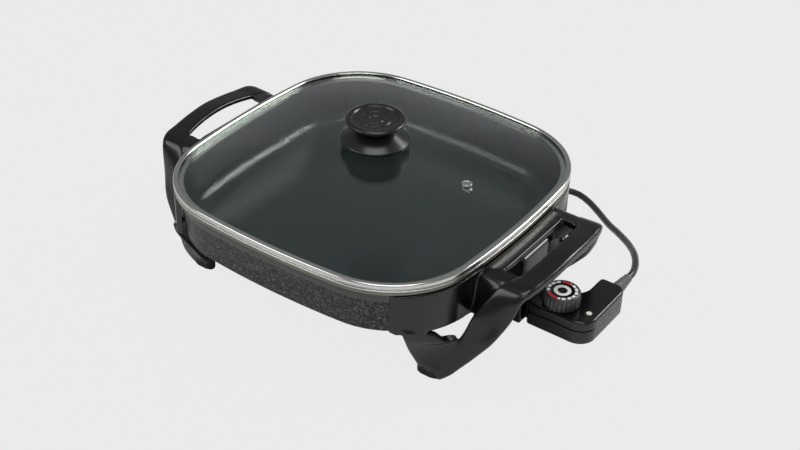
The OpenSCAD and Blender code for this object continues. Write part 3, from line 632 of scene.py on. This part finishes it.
def pan_form():
    """Rings from the underside, up the outer wall, over the rolled lip and down to the cooking floor."""
    rings, marks = [], []

    def add(d, z, finish):
        rings.append(raised(d, z))
        marks.append(finish)

    for t in quarter_arc(10):
        add(WALL_DRAW + BASE_FILLET * (1 - math.sin(t)), PAN_BASE_Z + BASE_FILLET * (1 - math.cos(t)),
            OUTSIDE)
    add(WALL_DRAW * 0.22, SPRAY_TOP, OUTSIDE)
    add(WALL_DRAW * 0.2, SPRAY_TOP + 0.2, SMOOTH)
    lip = rounded([(0.05, 96.0), (0.0, LIP_Z - LIP_T), (-LIP_OUT, LIP_Z - LIP_T), (-LIP_OUT, LIP_Z),
                   (PAN_WALL, LIP_Z), (PAN_WALL + 0.15, LIP_Z - 6)], [0, 1.2, 1.4, 1.4, 1.2, 0], 5)
    for i, (d, z) in enumerate(lip):
        add(d, z, LIP if 3 < i < len(lip) - 5 else (SMOOTH if i <= 3 else INSIDE))
    for t in quarter_arc(14):
        add(PAN_WALL + WALL_DRAW + FLOOR_FILLET * (1 - math.cos(t)),
            PAN_FLOOR_Z + FLOOR_FILLET * (1 - math.sin(t)), INSIDE)
    # The floor is drawn in rings to its middle, so that it stays one smooth sheet
    edge = rings[-1]
    for share in (0.97, 0.9, 0.8, 0.6, 0.4, 0.2, 0.05):
        rings.append([(x * share, y * share, PAN_FLOOR_Z) for x, y, z in edge])
        marks.append(INSIDE)
    verts, faces = loft(rings)
    n = len(rings[0])
    slots = []
    for k in range(len(rings) - 1):
        slots += [marks[k + 1]] * n
    slots += [OUTSIDE, INSIDE]  # the caps of the first and last ring
    return verts, faces, slots


def under_bosses():
    """The cast bosses under the floor: one for the probe, four for the handle screws."""
    root_z = PAN_BASE_Z + 1
    probe_x0, probe_x1, probe_r, steps = 56, 126, 7, 16
    turns = [math.pi + math.pi * i / steps for i in range(steps + 1)]
    arc = [(probe_r * math.cos(t), PIN_Z + probe_r * math.sin(t)) for t in turns]
    section = [(-probe_r, root_z)] + arc + [(probe_r, root_z)]
    parts = [loft([[(x, y, z) for y, z in section] for x in (probe_x0, probe_x1)])]
    screw_boss = [(0, 54), (4.7, 54), (5.5, 54.8), (5.6, 59), (7.5, 60.5), (0, root_z)]
    for side in (-1, 1):
        for y in (-SCREW_Y, SCREW_Y):
            parts.append(lathe(screw_boss, side * SCREW_X, y, 32))
    return joined(parts)


pan_verts, pan_faces, pan_slots = pan_form()
boss_verts, boss_faces = under_bosses()
all_verts, all_faces = joined([(pan_verts, pan_faces), (boss_verts, boss_faces)])
pan = make_mesh("cast_pan", all_verts, all_faces, [STONE, LIP_METAL, SMOOTH_COAT, NONSTICK],
                pan_slots + [OUTSIDE] * len(boss_faces))
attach(pan, "skillet")
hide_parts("pan")

# ---- Handles ----
# Edges are given as (out from the wall, y, drop below the rim). The first two run from a foot to mid-grip
INNER_EDGE = [(-30, -94, 120), (-20, -100, 104), (-10, -100, 92), (-3, -95, 80), (5, -88, 62), (12, -84, 42),
              (20, -71, 22), (27, -62, 14), (33.5, -44, 11.2), (36.5, -22, 8.3), (37, 0, 7)]
OUTER_EDGE = [(-13, -94, 120), (0, -97, 106), (9, -94, 95), (20, -90.5, 80), (32, -86, 62), (42.5, -75.5, 42),
              (48, -70, 20), (52, -60, 12.2), (54.5, -42, 10.6), (56.5, -22, 9), (57, 0, 7.6)]
STRUT_EDGE = [(-32, -98, 108), (-30, -104, 100), (-28, -112, 88), (-26, -121, 74), (-24, -130, 58),
              (-23, -133, 46)]
STRUT_SIDE = [(-8, -98, 108), (-2, -99, 98), (1, -95.5, 83), (4, -91, 69), (0, -98, 67.5), (-8, -105, 57)]
WEB_WALL = [(-1, -68, 52), (0, -67, 42), (1, -67, 28), (1, -63, 15), (1, -50, 12.2)]
WEB_GRIP = [(13, -83, 40), (17, -77, 33), (22, -70, 22), (28, -62, 14), (34, -47, 12)]
OUTER_SWELL = 0.3
GRIP_DROP = 50.0
FOOT_DROP = 120.0
LEG_REACH = RIM_Z - 45.0  # from GRIP_DROP down to 5 mm under the floor
LEG_T = 6.0
GRIP_T = 7.5
CHEEK_Z = 63.4
CHEEK_H = 40.0
CHEEK_T = 4.5
CHEEK_HALF = 134.0
LEDGE_W = 19.0
LEDGE_HALF = 54.0
LEDGE_T = 6.0
LEDGE_CORNER_R = 12.0
PAN_GAP = 0.4
LUG_Z = 50.0
LUG_R = 7.0
LUG_T = 4.0
LUG_UPRIGHT = 3.0
FOOT_IN = 29.0
FOOT_OUT = 17.0
FOOT_Y = 93.0
FOOT_H = 14.0
FOOT_R = 5.0
TUNNEL_X0 = 144.0
TUNNEL_X1 = 174.0
TUNNEL_HALF = 20.0
TUNNEL_INSIDE = 17.0
TUNNEL_Z = 30.0
TUNNEL_HEAD_Z = 58.0
TUNNEL_TOP = 98.4
TUNNEL_T = 2.4
TUNNEL_BAR = 10.0
OVERLAP = 1.0


def edge_point(p):
    """An edge point's place. Past GRIP_DROP the drops are stretched, so that the legs reach the floor."""
    drop = p[2]
    if drop > GRIP_DROP:
        drop = GRIP_DROP + (drop - GRIP_DROP) * LEG_REACH / (FOOT_DROP - GRIP_DROP)
    return (PAN_HALF + p[0], p[1], RIM_Z - drop)


def whole_edge(points):
    """An edge from one foot over the grip to the other foot."""
    near = [edge_point(p) for p in points]
    return near + [(x, -y, z) for x, y, z in reversed(near[:-1])]


def band_form(inner_points, outer_points, steps, t_ends, t_middle):
    """A band between two edge lines, with a rounded section that hangs below the face and swells
    towards the outer edge."""
    around = 36
    inner = smooth_line(inner_points, steps)
    outer = smooth_line(outer_points, steps)
    last = len(inner) - 1
    rings = []
    for k in range(last + 1):
        across = (outer[k] - inner[k]).normalized()
        k0, k1 = max(k - 1, 0), min(k + 1, last)
        along = (inner[k1] + outer[k1] - inner[k0] - outer[k0]).normalized()
        normal = across.cross(along).normalized()
        t = t_ends + (t_middle - t_ends) * math.sin(math.pi * k / last) ** 1.5
        half_span = (outer[k] - inner[k]) / 2
        middle = (outer[k] + inner[k]) / 2
        ring = []
        for i in range(around):
            w = -2 * math.pi * i / around
            c, s = math.cos(w), math.sin(w)
            share = math.copysign(abs(c) ** 0.4, c)
            depth = (1 - math.copysign(abs(s) ** 0.45, s)) / 2
            ring.append(tuple(middle + half_span * share - normal * (t * depth * (1 + OUTER_SWELL * share))))
        rings.append(ring)
    return loft(rings)


def flipped(form):
    """The same form on the other side of the grip's middle."""
    verts, faces = form
    return [(x, -y, z) for x, y, z in verts], [tuple(reversed(f)) for f in faces]


def cheek():
    """The plate that follows the pan's wall."""
    steps = 60
    span = [-CHEEK_HALF + 2 * CHEEK_HALF * i / steps for i in range(steps + 1)]
    plan = [(edge_x(y, -PAN_GAP), y) for y in span]
    plan += [(edge_x(y, -PAN_GAP - CHEEK_T), y) for y in reversed(span)]
    return prism(plan, CHEEK_Z, CHEEK_Z + CHEEK_H)


def ledge():
    """The shelf at the cheek's top, with its outer corners rounded."""
    steps = 40
    span = [-LEDGE_HALF + 2 * LEDGE_HALF * i / steps for i in range(steps + 1)]
    r = LEDGE_CORNER_R
    far = PAN_HALF + LEDGE_W - r
    curve = [(far + r * math.cos(t), LEDGE_HALF - r + r * math.sin(t)) for t in reversed(quarter_arc(8))]
    plan = [(edge_x(y, -PAN_GAP), y) for y in span] + curve + [(x, -y) for x, y in reversed(curve)]
    return prism(plan, CHEEK_Z + CHEEK_H - LEDGE_T, CHEEK_Z + CHEEK_H)


def foot(side):
    """The block that a leg stands on."""
    points = []
    for x in (PAN_HALF - FOOT_IN, PAN_HALF - FOOT_OUT):
        for z in (0, FOOT_H):
            points += disc(x, side * FOOT_Y, z, FOOT_R)
    return hull_form(points)


def screw_lug(side):
    """The lug under the pan for a handle screw, and the upright that joins it to the cheek."""
    y = side * SCREW_Y
    wall = edge_x(y, -PAN_GAP)
    eye = prism(disc(SCREW_X, y, 0, LUG_R, 32), LUG_Z, LUG_Z + LUG_T)
    tongue = box_form((SCREW_X, y - LUG_R, LUG_Z), (wall + CHEEK_T, y + LUG_R, LUG_Z + LUG_T))
    upright = box_form((wall - LUG_UPRIGHT, y - LUG_R, LUG_Z), (wall + CHEEK_T, y + LUG_R, CHEEK_Z + LUG_T))
    return [eye, tongue, upright]


def tunnel():
    """The tunnel that the control plugs into: a head, two walls, a floor and a bar across."""
    x0, x1, half, z0, head_z = TUNNEL_X0, TUNNEL_X1, TUNNEL_HALF, TUNNEL_Z, TUNNEL_HEAD_Z
    parts = [box_form((PAN_HALF + 0.5, -half, head_z), (x1, half, TUNNEL_TOP))]
    for side in (-1, 1):
        low, high = sorted((side * TUNNEL_INSIDE, side * half))
        parts.append(box_form((x0, low, z0), (x1, high, head_z + OVERLAP)))
    parts.append(box_form((x0, -half, z0), (x1, half, z0 + TUNNEL_T)))
    parts.append(box_form((x0, -half, head_z - OVERLAP), (x0 + TUNNEL_BAR, half, head_z + OVERLAP)))
    return parts


def handle_parts(with_tunnel):
    """The forms of one handle, which overlap until they are joined into one skin."""
    parts = [band_form(whole_edge(INNER_EDGE), whole_edge(OUTER_EDGE), 10, LEG_T, GRIP_T)]
    for inner, outer in ((STRUT_EDGE, STRUT_SIDE), (WEB_WALL, WEB_GRIP)):
        plate = band_form([edge_point(p) for p in inner], [edge_point(p) for p in outer], 8, LEG_T, LEG_T)
        parts += [plate, flipped(plate)]
    parts += [cheek(), ledge()]
    for side in (-1, 1):
        parts += [foot(side)] + screw_lug(side)
    if with_tunnel:
        parts += tunnel()
    return joined(parts)


def moulded(obj, voxel_mm, rounds):
    """Joins overlapping forms into one skin and rounds its edges as a mould does."""
    applied(obj, "REMESH", mode="VOXEL", voxel_size=voxel_mm * MM, use_smooth_shade=True)
    applied(obj, "SMOOTH", factor=0.5, iterations=rounds)


def make_handle(name, node_name, with_tunnel, mirror):
    """One moulded handle; mirror turns it over to the plain side."""
    handle = make_mesh(name, *handle_parts(with_tunnel), [PHENOLIC])
    moulded(handle, voxel_mm=1.0, rounds=8)
    # Nothing reaches into the pan's wall or below the floor
    for v in handle.data.vertices:
        x, y, z = v.co.x / MM + MID_X, v.co.y / MM, v.co.z / MM
        if z > PAN_BASE_Z and x < edge_x(y, -PAN_GAP):
            v.co.x = (edge_x(y, -PAN_GAP) - MID_X) * MM
        v.co.z = max(v.co.z, 0.0)
        if mirror:
            v.co.x = -(v.co.x + MID_X * MM) - MID_X * MM
    if mirror:
        handle.data.flip_normals()
    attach(handle, "skillet")
    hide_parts(node_name)


make_handle("moulded_handle_control", "control_side_handle", True, False)
make_handle("moulded_handle_plain", "plain_side_handle", False, True)


# ---- Lid ----
DOME_EDGE = 1 - (BAND_W + 1) / (PAN_HALF + BAND_OUT)
HOLE_SHARE = 0.035
GLASS_INSET = 1.1
GLASS_HALF = PAN_HALF + BAND_OUT - GLASS_INSET


def dome_z(share):
    """How far the dome stands above the lid's edge, at a share of the way out from its middle."""
    return DOME_RISE * (1 - (share / DOME_EDGE) ** 2.3) if share < DOME_EDGE else 0.0


def lid_glass_form():
    """The domed sheet, from the hole in its middle out to its flat edge."""
    edge = outline(GLASS_INSET - BAND_OUT)
    steps = 26
    shares = [HOLE_SHARE + (DOME_EDGE - HOLE_SHARE) * i / steps for i in range(steps + 1)]
    shares += [0.965, 0.99, 1.0]
    under = [[(x * s, y * s, GLASS_Z + dome_z(s)) for x, y in edge] for s in shares]
    over = [[(x * s, y * s, GLASS_Z + GLASS_T + dome_z(s)) for x, y in edge] for s in reversed(shares)]
    return loft(under + over, closed=True)


def profile_sweep(profile):
    """Points and faces of a closed profile of (d, z) carried round the pan's outline."""
    return loft([raised(d, z) for d, z in profile], closed=True)


lid_glass = make_mesh("domed_lid_glass", *lid_glass_form(), [GLASS])
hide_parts("lid_glass")
# The rolled band: a round bead above, a groove round its side, and a flat foot that runs in under the glass
band_profile = rounded([(-BAND_OUT, BAND_Z), (PAN_WALL + 1.2, BAND_Z), (PAN_WALL + 1.2, BAND_Z + 0.8),
                        (-BAND_OUT + 0.9, BAND_Z + 0.9), (-BAND_OUT + 1.6, RIM_Z - 2.6),
                        (BAND_W - BAND_OUT - 0.6, RIM_Z - 1.5), (BAND_W - BAND_OUT, RIM_Z - 0.9),
                        (BAND_W - BAND_OUT - 0.8, RIM_Z), (-BAND_OUT, RIM_Z), (-BAND_OUT, RIM_Z - 3.9),
                        (-BAND_OUT + 1.3, RIM_Z - 4.3), (-BAND_OUT + 1.3, BAND_Z + 1.6),
                        (-BAND_OUT, BAND_Z + 1.3)],
                       [0.5, 0.2, 0.2, 0.2, 0.5, 0.3, 0.4, 0.5, 2.2, 0.6, 0.2, 0.2, 0.3], 5, closed=True)
lid_band = make_mesh("rolled_steel_band", *profile_sweep(band_profile), [STEEL])
skirt_profile = [(4.1, BAND_Z - 3), (4.9, BAND_Z - 3), (4.9, BAND_Z + 0.1), (4.1, BAND_Z + 0.1)]
skirt = make_mesh("band_locating_skirt", *profile_sweep(skirt_profile), [STEEL], smooth=False)
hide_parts("lid_rim")
for piece in (lid_glass, lid_band, skirt):
    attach(piece, "lid")

VENT_Z = GLASS_Z + dome_z(VENT_OFFSET / GLASS_HALF)
VENT_X = VENT_OFFSET * math.cos(math.radians(VENT_TURN))
VENT_Y = VENT_OFFSET * math.sin(math.radians(VENT_TURN))
vent_profile = rounded([(1.8, VENT_Z - 2.8), (4.9, VENT_Z - 2.6), (5.0, VENT_Z - 1.0), (3.0, VENT_Z - 0.6),
                        (3.0, VENT_Z + GLASS_T + 0.6), (5.0, VENT_Z + GLASS_T + 0.7),
                        (4.9, VENT_Z + GLASS_T + 2.0), (2.3, VENT_Z + GLASS_T + 3.0),
                        (1.8, VENT_Z + GLASS_T + 2.4), (1.8, VENT_Z - 2.8)],
                       [0, 0.5, 0.5, 0.1, 0.1, 0.5, 0.5, 0.4, 0.3, 0], 4)
vent = make_mesh("steam_vent_grommet", *lathe(vent_profile, VENT_X, VENT_Y, 48), [STEEL])
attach(vent, "lid")
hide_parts("vent_grommet")

# ---- Knob ----
GLASS_TOP = GLASS_Z + dome_z(0.14) + GLASS_T
SEAT_Z = GLASS_TOP + 1.2
KNOB_TOP = GLASS_TOP + 29.0
CAP_Z = SEAT_Z + 20.5
base_profile = rounded([(0, SEAT_Z), (17, SEAT_Z), (18, SEAT_Z + 3.5), (29, SEAT_Z + 4.2),
                        (31.9, SEAT_Z + 4.6), (31.9, SEAT_Z + 7.6), (29.2, SEAT_Z + 9.2),
                        (19.6, SEAT_Z + 15.0), (16.2, SEAT_Z + 17.0), (16, CAP_Z), (0, CAP_Z)],
                       [0, 1, 2, 1, 1.4, 1.6, 1.5, 3, 1, 0, 0], 7)
knob_base = make_mesh("skirted_knob_base", *lathe(base_profile, 0, 0, 96), [KNOB_BLACK_PAINTED_SHEEN])
cap_profile = rounded([(0, CAP_Z), (16, CAP_Z), (23.0, CAP_Z + 1.9), (27.4, CAP_Z + 3.4),
                       (27.4, KNOB_TOP - 1.4), (24.6, KNOB_TOP), (21.8, KNOB_TOP - 0.5),
                       (20.6, KNOB_TOP - 1.9), (14.4, KNOB_TOP - 2.3), (13.8, KNOB_TOP - 1.7),
                       (12.6, KNOB_TOP - 2.4), (7.2, KNOB_TOP - 2.6), (6.6, KNOB_TOP - 2.0),
                       (5.6, KNOB_TOP - 2.7), (0, KNOB_TOP - 2.8)],
                      [0, 0.5, 3, 1.8, 2.2, 1.4, 0.9, 0.7, 0.3, 0.3, 0.3, 0.3, 0.3, 0.3, 0], 6)
knob_cap = make_mesh("dished_knob_cap", *lathe(cap_profile, 0, 0, 96), [KNOB_BLACK_PAINTED_SHEEN])
for piece, node_name in ((knob_base, "knob_base"), (knob_cap, "knob_cap")):
    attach(piece, "lid")
    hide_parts(node_name)


# ---- Heat control ----
def plan_arc(cx, cy, r, a0, a1, steps):
    """Points (x, y) of an arc from a0 to a1 degrees."""
    return [(cx + r * math.cos(math.radians(a0 + (a1 - a0) * i / steps)),
             cy + r * math.sin(math.radians(a0 + (a1 - a0) * i / steps))) for i in range(steps + 1)]


def control_plan(d):
    """Plan of the housing drawn in by d: a body round the dial, and a tail for the cord."""
    tail_w = 26
    tail_x = CONTROL_X1 - tail_w
    nose_r, body_r, tail_r, end_r, inner_r, least_r = 3, 16, 10, 4, 18, 0.05
    return (plan_arc(CONTROL_X0 + nose_r, nose_r - CONTROL_HALF, max(nose_r - d, least_r), 180, 270, 6)
            + plan_arc(CONTROL_X1 - body_r, body_r - CONTROL_HALF, body_r - d, 270, 360, 20)
            + plan_arc(CONTROL_X1 - tail_r, CONTROL_TAIL - tail_r, tail_r - d, 0, 90, 14)
            + plan_arc(tail_x + end_r, CONTROL_TAIL - end_r, max(end_r - d, least_r), 90, 180, 6)
            + plan_arc(tail_x - inner_r, CONTROL_HALF + inner_r, inner_r + d, 360, 270, 20)
            + plan_arc(CONTROL_X0 + nose_r, CONTROL_HALF - nose_r, max(nose_r - d, least_r), 90, 180, 6))


def shell_form(stations):
    """A skin over the housing's plan, from (drawn in, z) stations."""
    return loft([[(x, y, z) for x, y in control_plan(d)] for d, z in stations])


upper = rounded([(1.0, SEAM_Z + 0.1), (0.05, SEAM_Z + 0.4), (0.05, CONTROL_TOP), (6.0, CONTROL_TOP)],
                [0, 0.3, 2.6, 0], 7)[:-1] + [(2.95, CONTROL_TOP)]
lower = rounded([(2.95, CONTROL_Z), (0.05, CONTROL_Z), (0.05, SEAM_Z - 0.9), (1.0, SEAM_Z - 0.6)],
                [0, 2.6, 0.3, 0], 7)
upper_shell = make_mesh("control_shell_upper", *shell_form(upper), [CONTROL_BLACK])
lower_shell = make_mesh("control_shell_lower", *shell_form(lower), [CONTROL_BLACK])
for piece, node_name in ((upper_shell, "control_upper_shell"), (lower_shell, "control_lower_shell")):
    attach(piece, "heat_control")
    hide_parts(node_name)


# ---- Dial ----
DIAL_FLUTES = 24
FLUTE_DEPTH = 0.95
RED_ARCS = ((82, 120), (222, 280))  # degrees round the dial
MARK_PITCH = 24
MARK_GAP = 6
BLANK, WHITE, RED = range(3)  # the face's prints, in the order of its material slots


def dial_form():
    """A dial with a rounded rim and flutes down its side."""
    around = DIAL_FLUTES * 12
    # How far in from the side, the height, and the share of the flutes' depth there
    heights = [(0.8, DIAL_Z, 1.0), (0.0, DIAL_Z + 0.8, 1.0), (0.0, DIAL_TOP - 3.2, 1.0),
               (0.25, DIAL_TOP - 2.0, 0.6), (0.9, DIAL_TOP - 0.8, 0.15), (1.8, DIAL_TOP - 0.15, 0.0),
               (2.4, DIAL_TOP, 0.0), (2.9, DIAL_TOP - 0.2, 0.0), (3.0, DIAL_TOP - 0.7, 0.0)]
    rings = []
    for inset, z, depth in heights:
        ring = []
        for i in range(around):
            t = 2 * math.pi * i / around
            flute = max(0.0, math.cos(DIAL_FLUTES * t)) ** 1.5 * FLUTE_DEPTH * depth
            r = DIAL_R - 0.02 - inset - flute
            ring.append((DIAL_X + r * math.cos(t), r * math.sin(t), z))
        rings.append(ring)
    return loft(rings)


def dial_face_form():
    """The printed face in rings and sectors. Returns points, faces and each face's print colour."""
    radii = [4.4, 7.6, 9.4, 10.9, 13.45]
    sectors = 144
    z = DIAL_TOP - 0.45
    verts = [(DIAL_X, 0.0, z)]
    for r in radii:
        verts += disc(DIAL_X, 0.0, z, r, sectors)
    faces = [(0, 1 + i, 1 + (i + 1) % sectors) for i in range(sectors)]
    slots = [BLANK] * sectors
    # The first ring round the middle disc is white, and the outermost carries the marks
    for k in range(len(radii) - 1):
        for i in range(sectors):
            j = (i + 1) % sectors
            a, b = 1 + k * sectors, 1 + (k + 1) * sectors
            faces.append((a + i, b + i, b + j, a + j))
            turn = 360 * i / sectors
            red = any(start <= turn < end for start, end in RED_ARCS)
            marks = RED if red else (BLANK if turn % MARK_PITCH < MARK_GAP else WHITE)
            slots.append({0: WHITE, 3: marks}.get(k, BLANK))
    return verts, faces, slots


dial = make_mesh("fluted_dial", *dial_form(), [DIAL_BLACK])
face_verts, face_faces, face_slots = dial_face_form()
dial_print = make_mesh("printed_dial_face", face_verts, face_faces, [CONTROL_BLACK, PRINT_WHITE, PRINT_RED],
                       face_slots)
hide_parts("dial")
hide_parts("dial_face")
for piece in (dial, dial_print):
    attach(piece, "temperature_dial")

# ---- Carried-over pieces and their finishes ----
FINISHES = {
    "heating_element": SHEATH, "terminal_block": STEATITE, "terminal_pins": NICKEL, "handle_screws": ZINC,
    "handle_washers": ZINC, "knob_gasket": SILICONE, "knob_washer": ZINC, "knob_screw": ZINC,
    "control_nose": CONTROL_BLACK, "contact_sleeves": BRASS, "probe_tube": NICKEL,
    "thermostat_frame": STEATITE, "bimetal_strip": SPRING, "contact_arm": BRASS,
    "wire_terminals": BRASS, "control_screws": ZINC,
    "indicator_lens": LENS, "indicator_lamp": LENS, "dial_spindle": NICKEL,
}
for node_name, material in FINISHES.items():
    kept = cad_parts[node_name]
    for slot_place in kept.material_slots:
        slot_place.material = material
    if not kept.material_slots:
        kept.data.materials.append(material)


# ---- Floor, world and lamps ----
def stage_floor():
    """A wide pale floor that keeps a soft shadow and shows its own colour to the eye."""
    half_width = 6.0
    corners = [(x * half_width, y * half_width, 0) for x, y in ((1, 1), (-1, 1), (-1, -1), (1, -1))]
    mesh = bpy.data.meshes.new("floor")
    mesh.from_pydata(corners, [], [(0, 1, 2, 3)])
    floor = bpy.data.objects.new("floor", mesh)
    bpy.context.scene.collection.objects.link(floor)
    material = bpy.data.materials.new("pale_studio_floor")
    material.use_nodes = True
    tree = material.node_tree
    tree.nodes.clear()
    pale = srgb("ebebeb")
    matt = add_node(tree, "ShaderNodeBsdfDiffuse", {"Color": pale})
    plain = add_node(tree, "ShaderNodeEmission", {"Color": pale, "Strength": 1.0})
    # Seen directly, the floor is nearly all its own plain colour, and the rest takes the shadow
    shown = add_node(tree, "ShaderNodeMixShader", {0: 0.97}, {1: matt.outputs[0], 2: plain.outputs[0]})
    rays = add_node(tree, "ShaderNodeLightPath")
    seen = add_node(tree, "ShaderNodeMath", operation="MAXIMUM",
                    links={0: rays.outputs["Is Camera Ray"], 1: rays.outputs["Is Transmission Ray"]})
    final = add_node(tree, "ShaderNodeMixShader",
                     links={0: seen.outputs[0], 1: matt.outputs[0], 2: shown.outputs[0]})
    add_node(tree, "ShaderNodeOutputMaterial", links={0: final.outputs[0]})
    mesh.materials.append(material)


def studio_world():
    """Pale and plain to the eye, and a weaker, slightly cooler light on the object."""
    world = bpy.data.worlds.new("studio")
    bpy.context.scene.world = world
    world.use_nodes = True
    tree = world.node_tree
    tree.nodes.clear()
    rays = add_node(tree, "ShaderNodeLightPath")
    plain = add_node(tree, "ShaderNodeBackground", {"Color": srgb("ebebeb"), "Strength": 1.0})
    light = add_node(tree, "ShaderNodeBackground", {"Color": srgb("f4f6f8"), "Strength": 0.28})
    final = add_node(tree, "ShaderNodeMixShader",
                     links={0: rays.outputs["Is Camera Ray"], 1: light.outputs[0], 2: plain.outputs[0]})
    add_node(tree, "ShaderNodeOutputWorld", links={0: final.outputs[0]})


LAMP_AIM = (0, 0, 0.08)


def soft_box(name, at, size, power):
    """An area lamp that faces the skillet: its place and size in metres, and its power in watts."""
    data = bpy.data.lights.new(name, "AREA")
    data.shape = "RECTANGLE"
    data.size, data.size_y = size
    data.energy = power
    lamp = bpy.data.objects.new(name, data)
    lamp.location = at
    lamp.rotation_euler = (Vector(LAMP_AIM) - Vector(at)).to_track_quat("-Z", "Y").to_euler()
    bpy.context.scene.collection.objects.link(lamp)


stage_floor()
studio_world()
soft_box("left_front_box", (-0.85, -1.0, 1.15), (0.9, 0.7), 6.5)
soft_box("right_back_box", (0.75, 1.25, 1.1), (0.8, 0.6), 15)
soft_box("camera_side_box", (0.85, -1.1, 1.55), (1.3, 0.45), 7)
soft_box("overhead_box", (0.15, -0.2, 1.5), (0.9, 0.6), 6)

bpy.context.scene.view_settings.view_transform = "Standard"
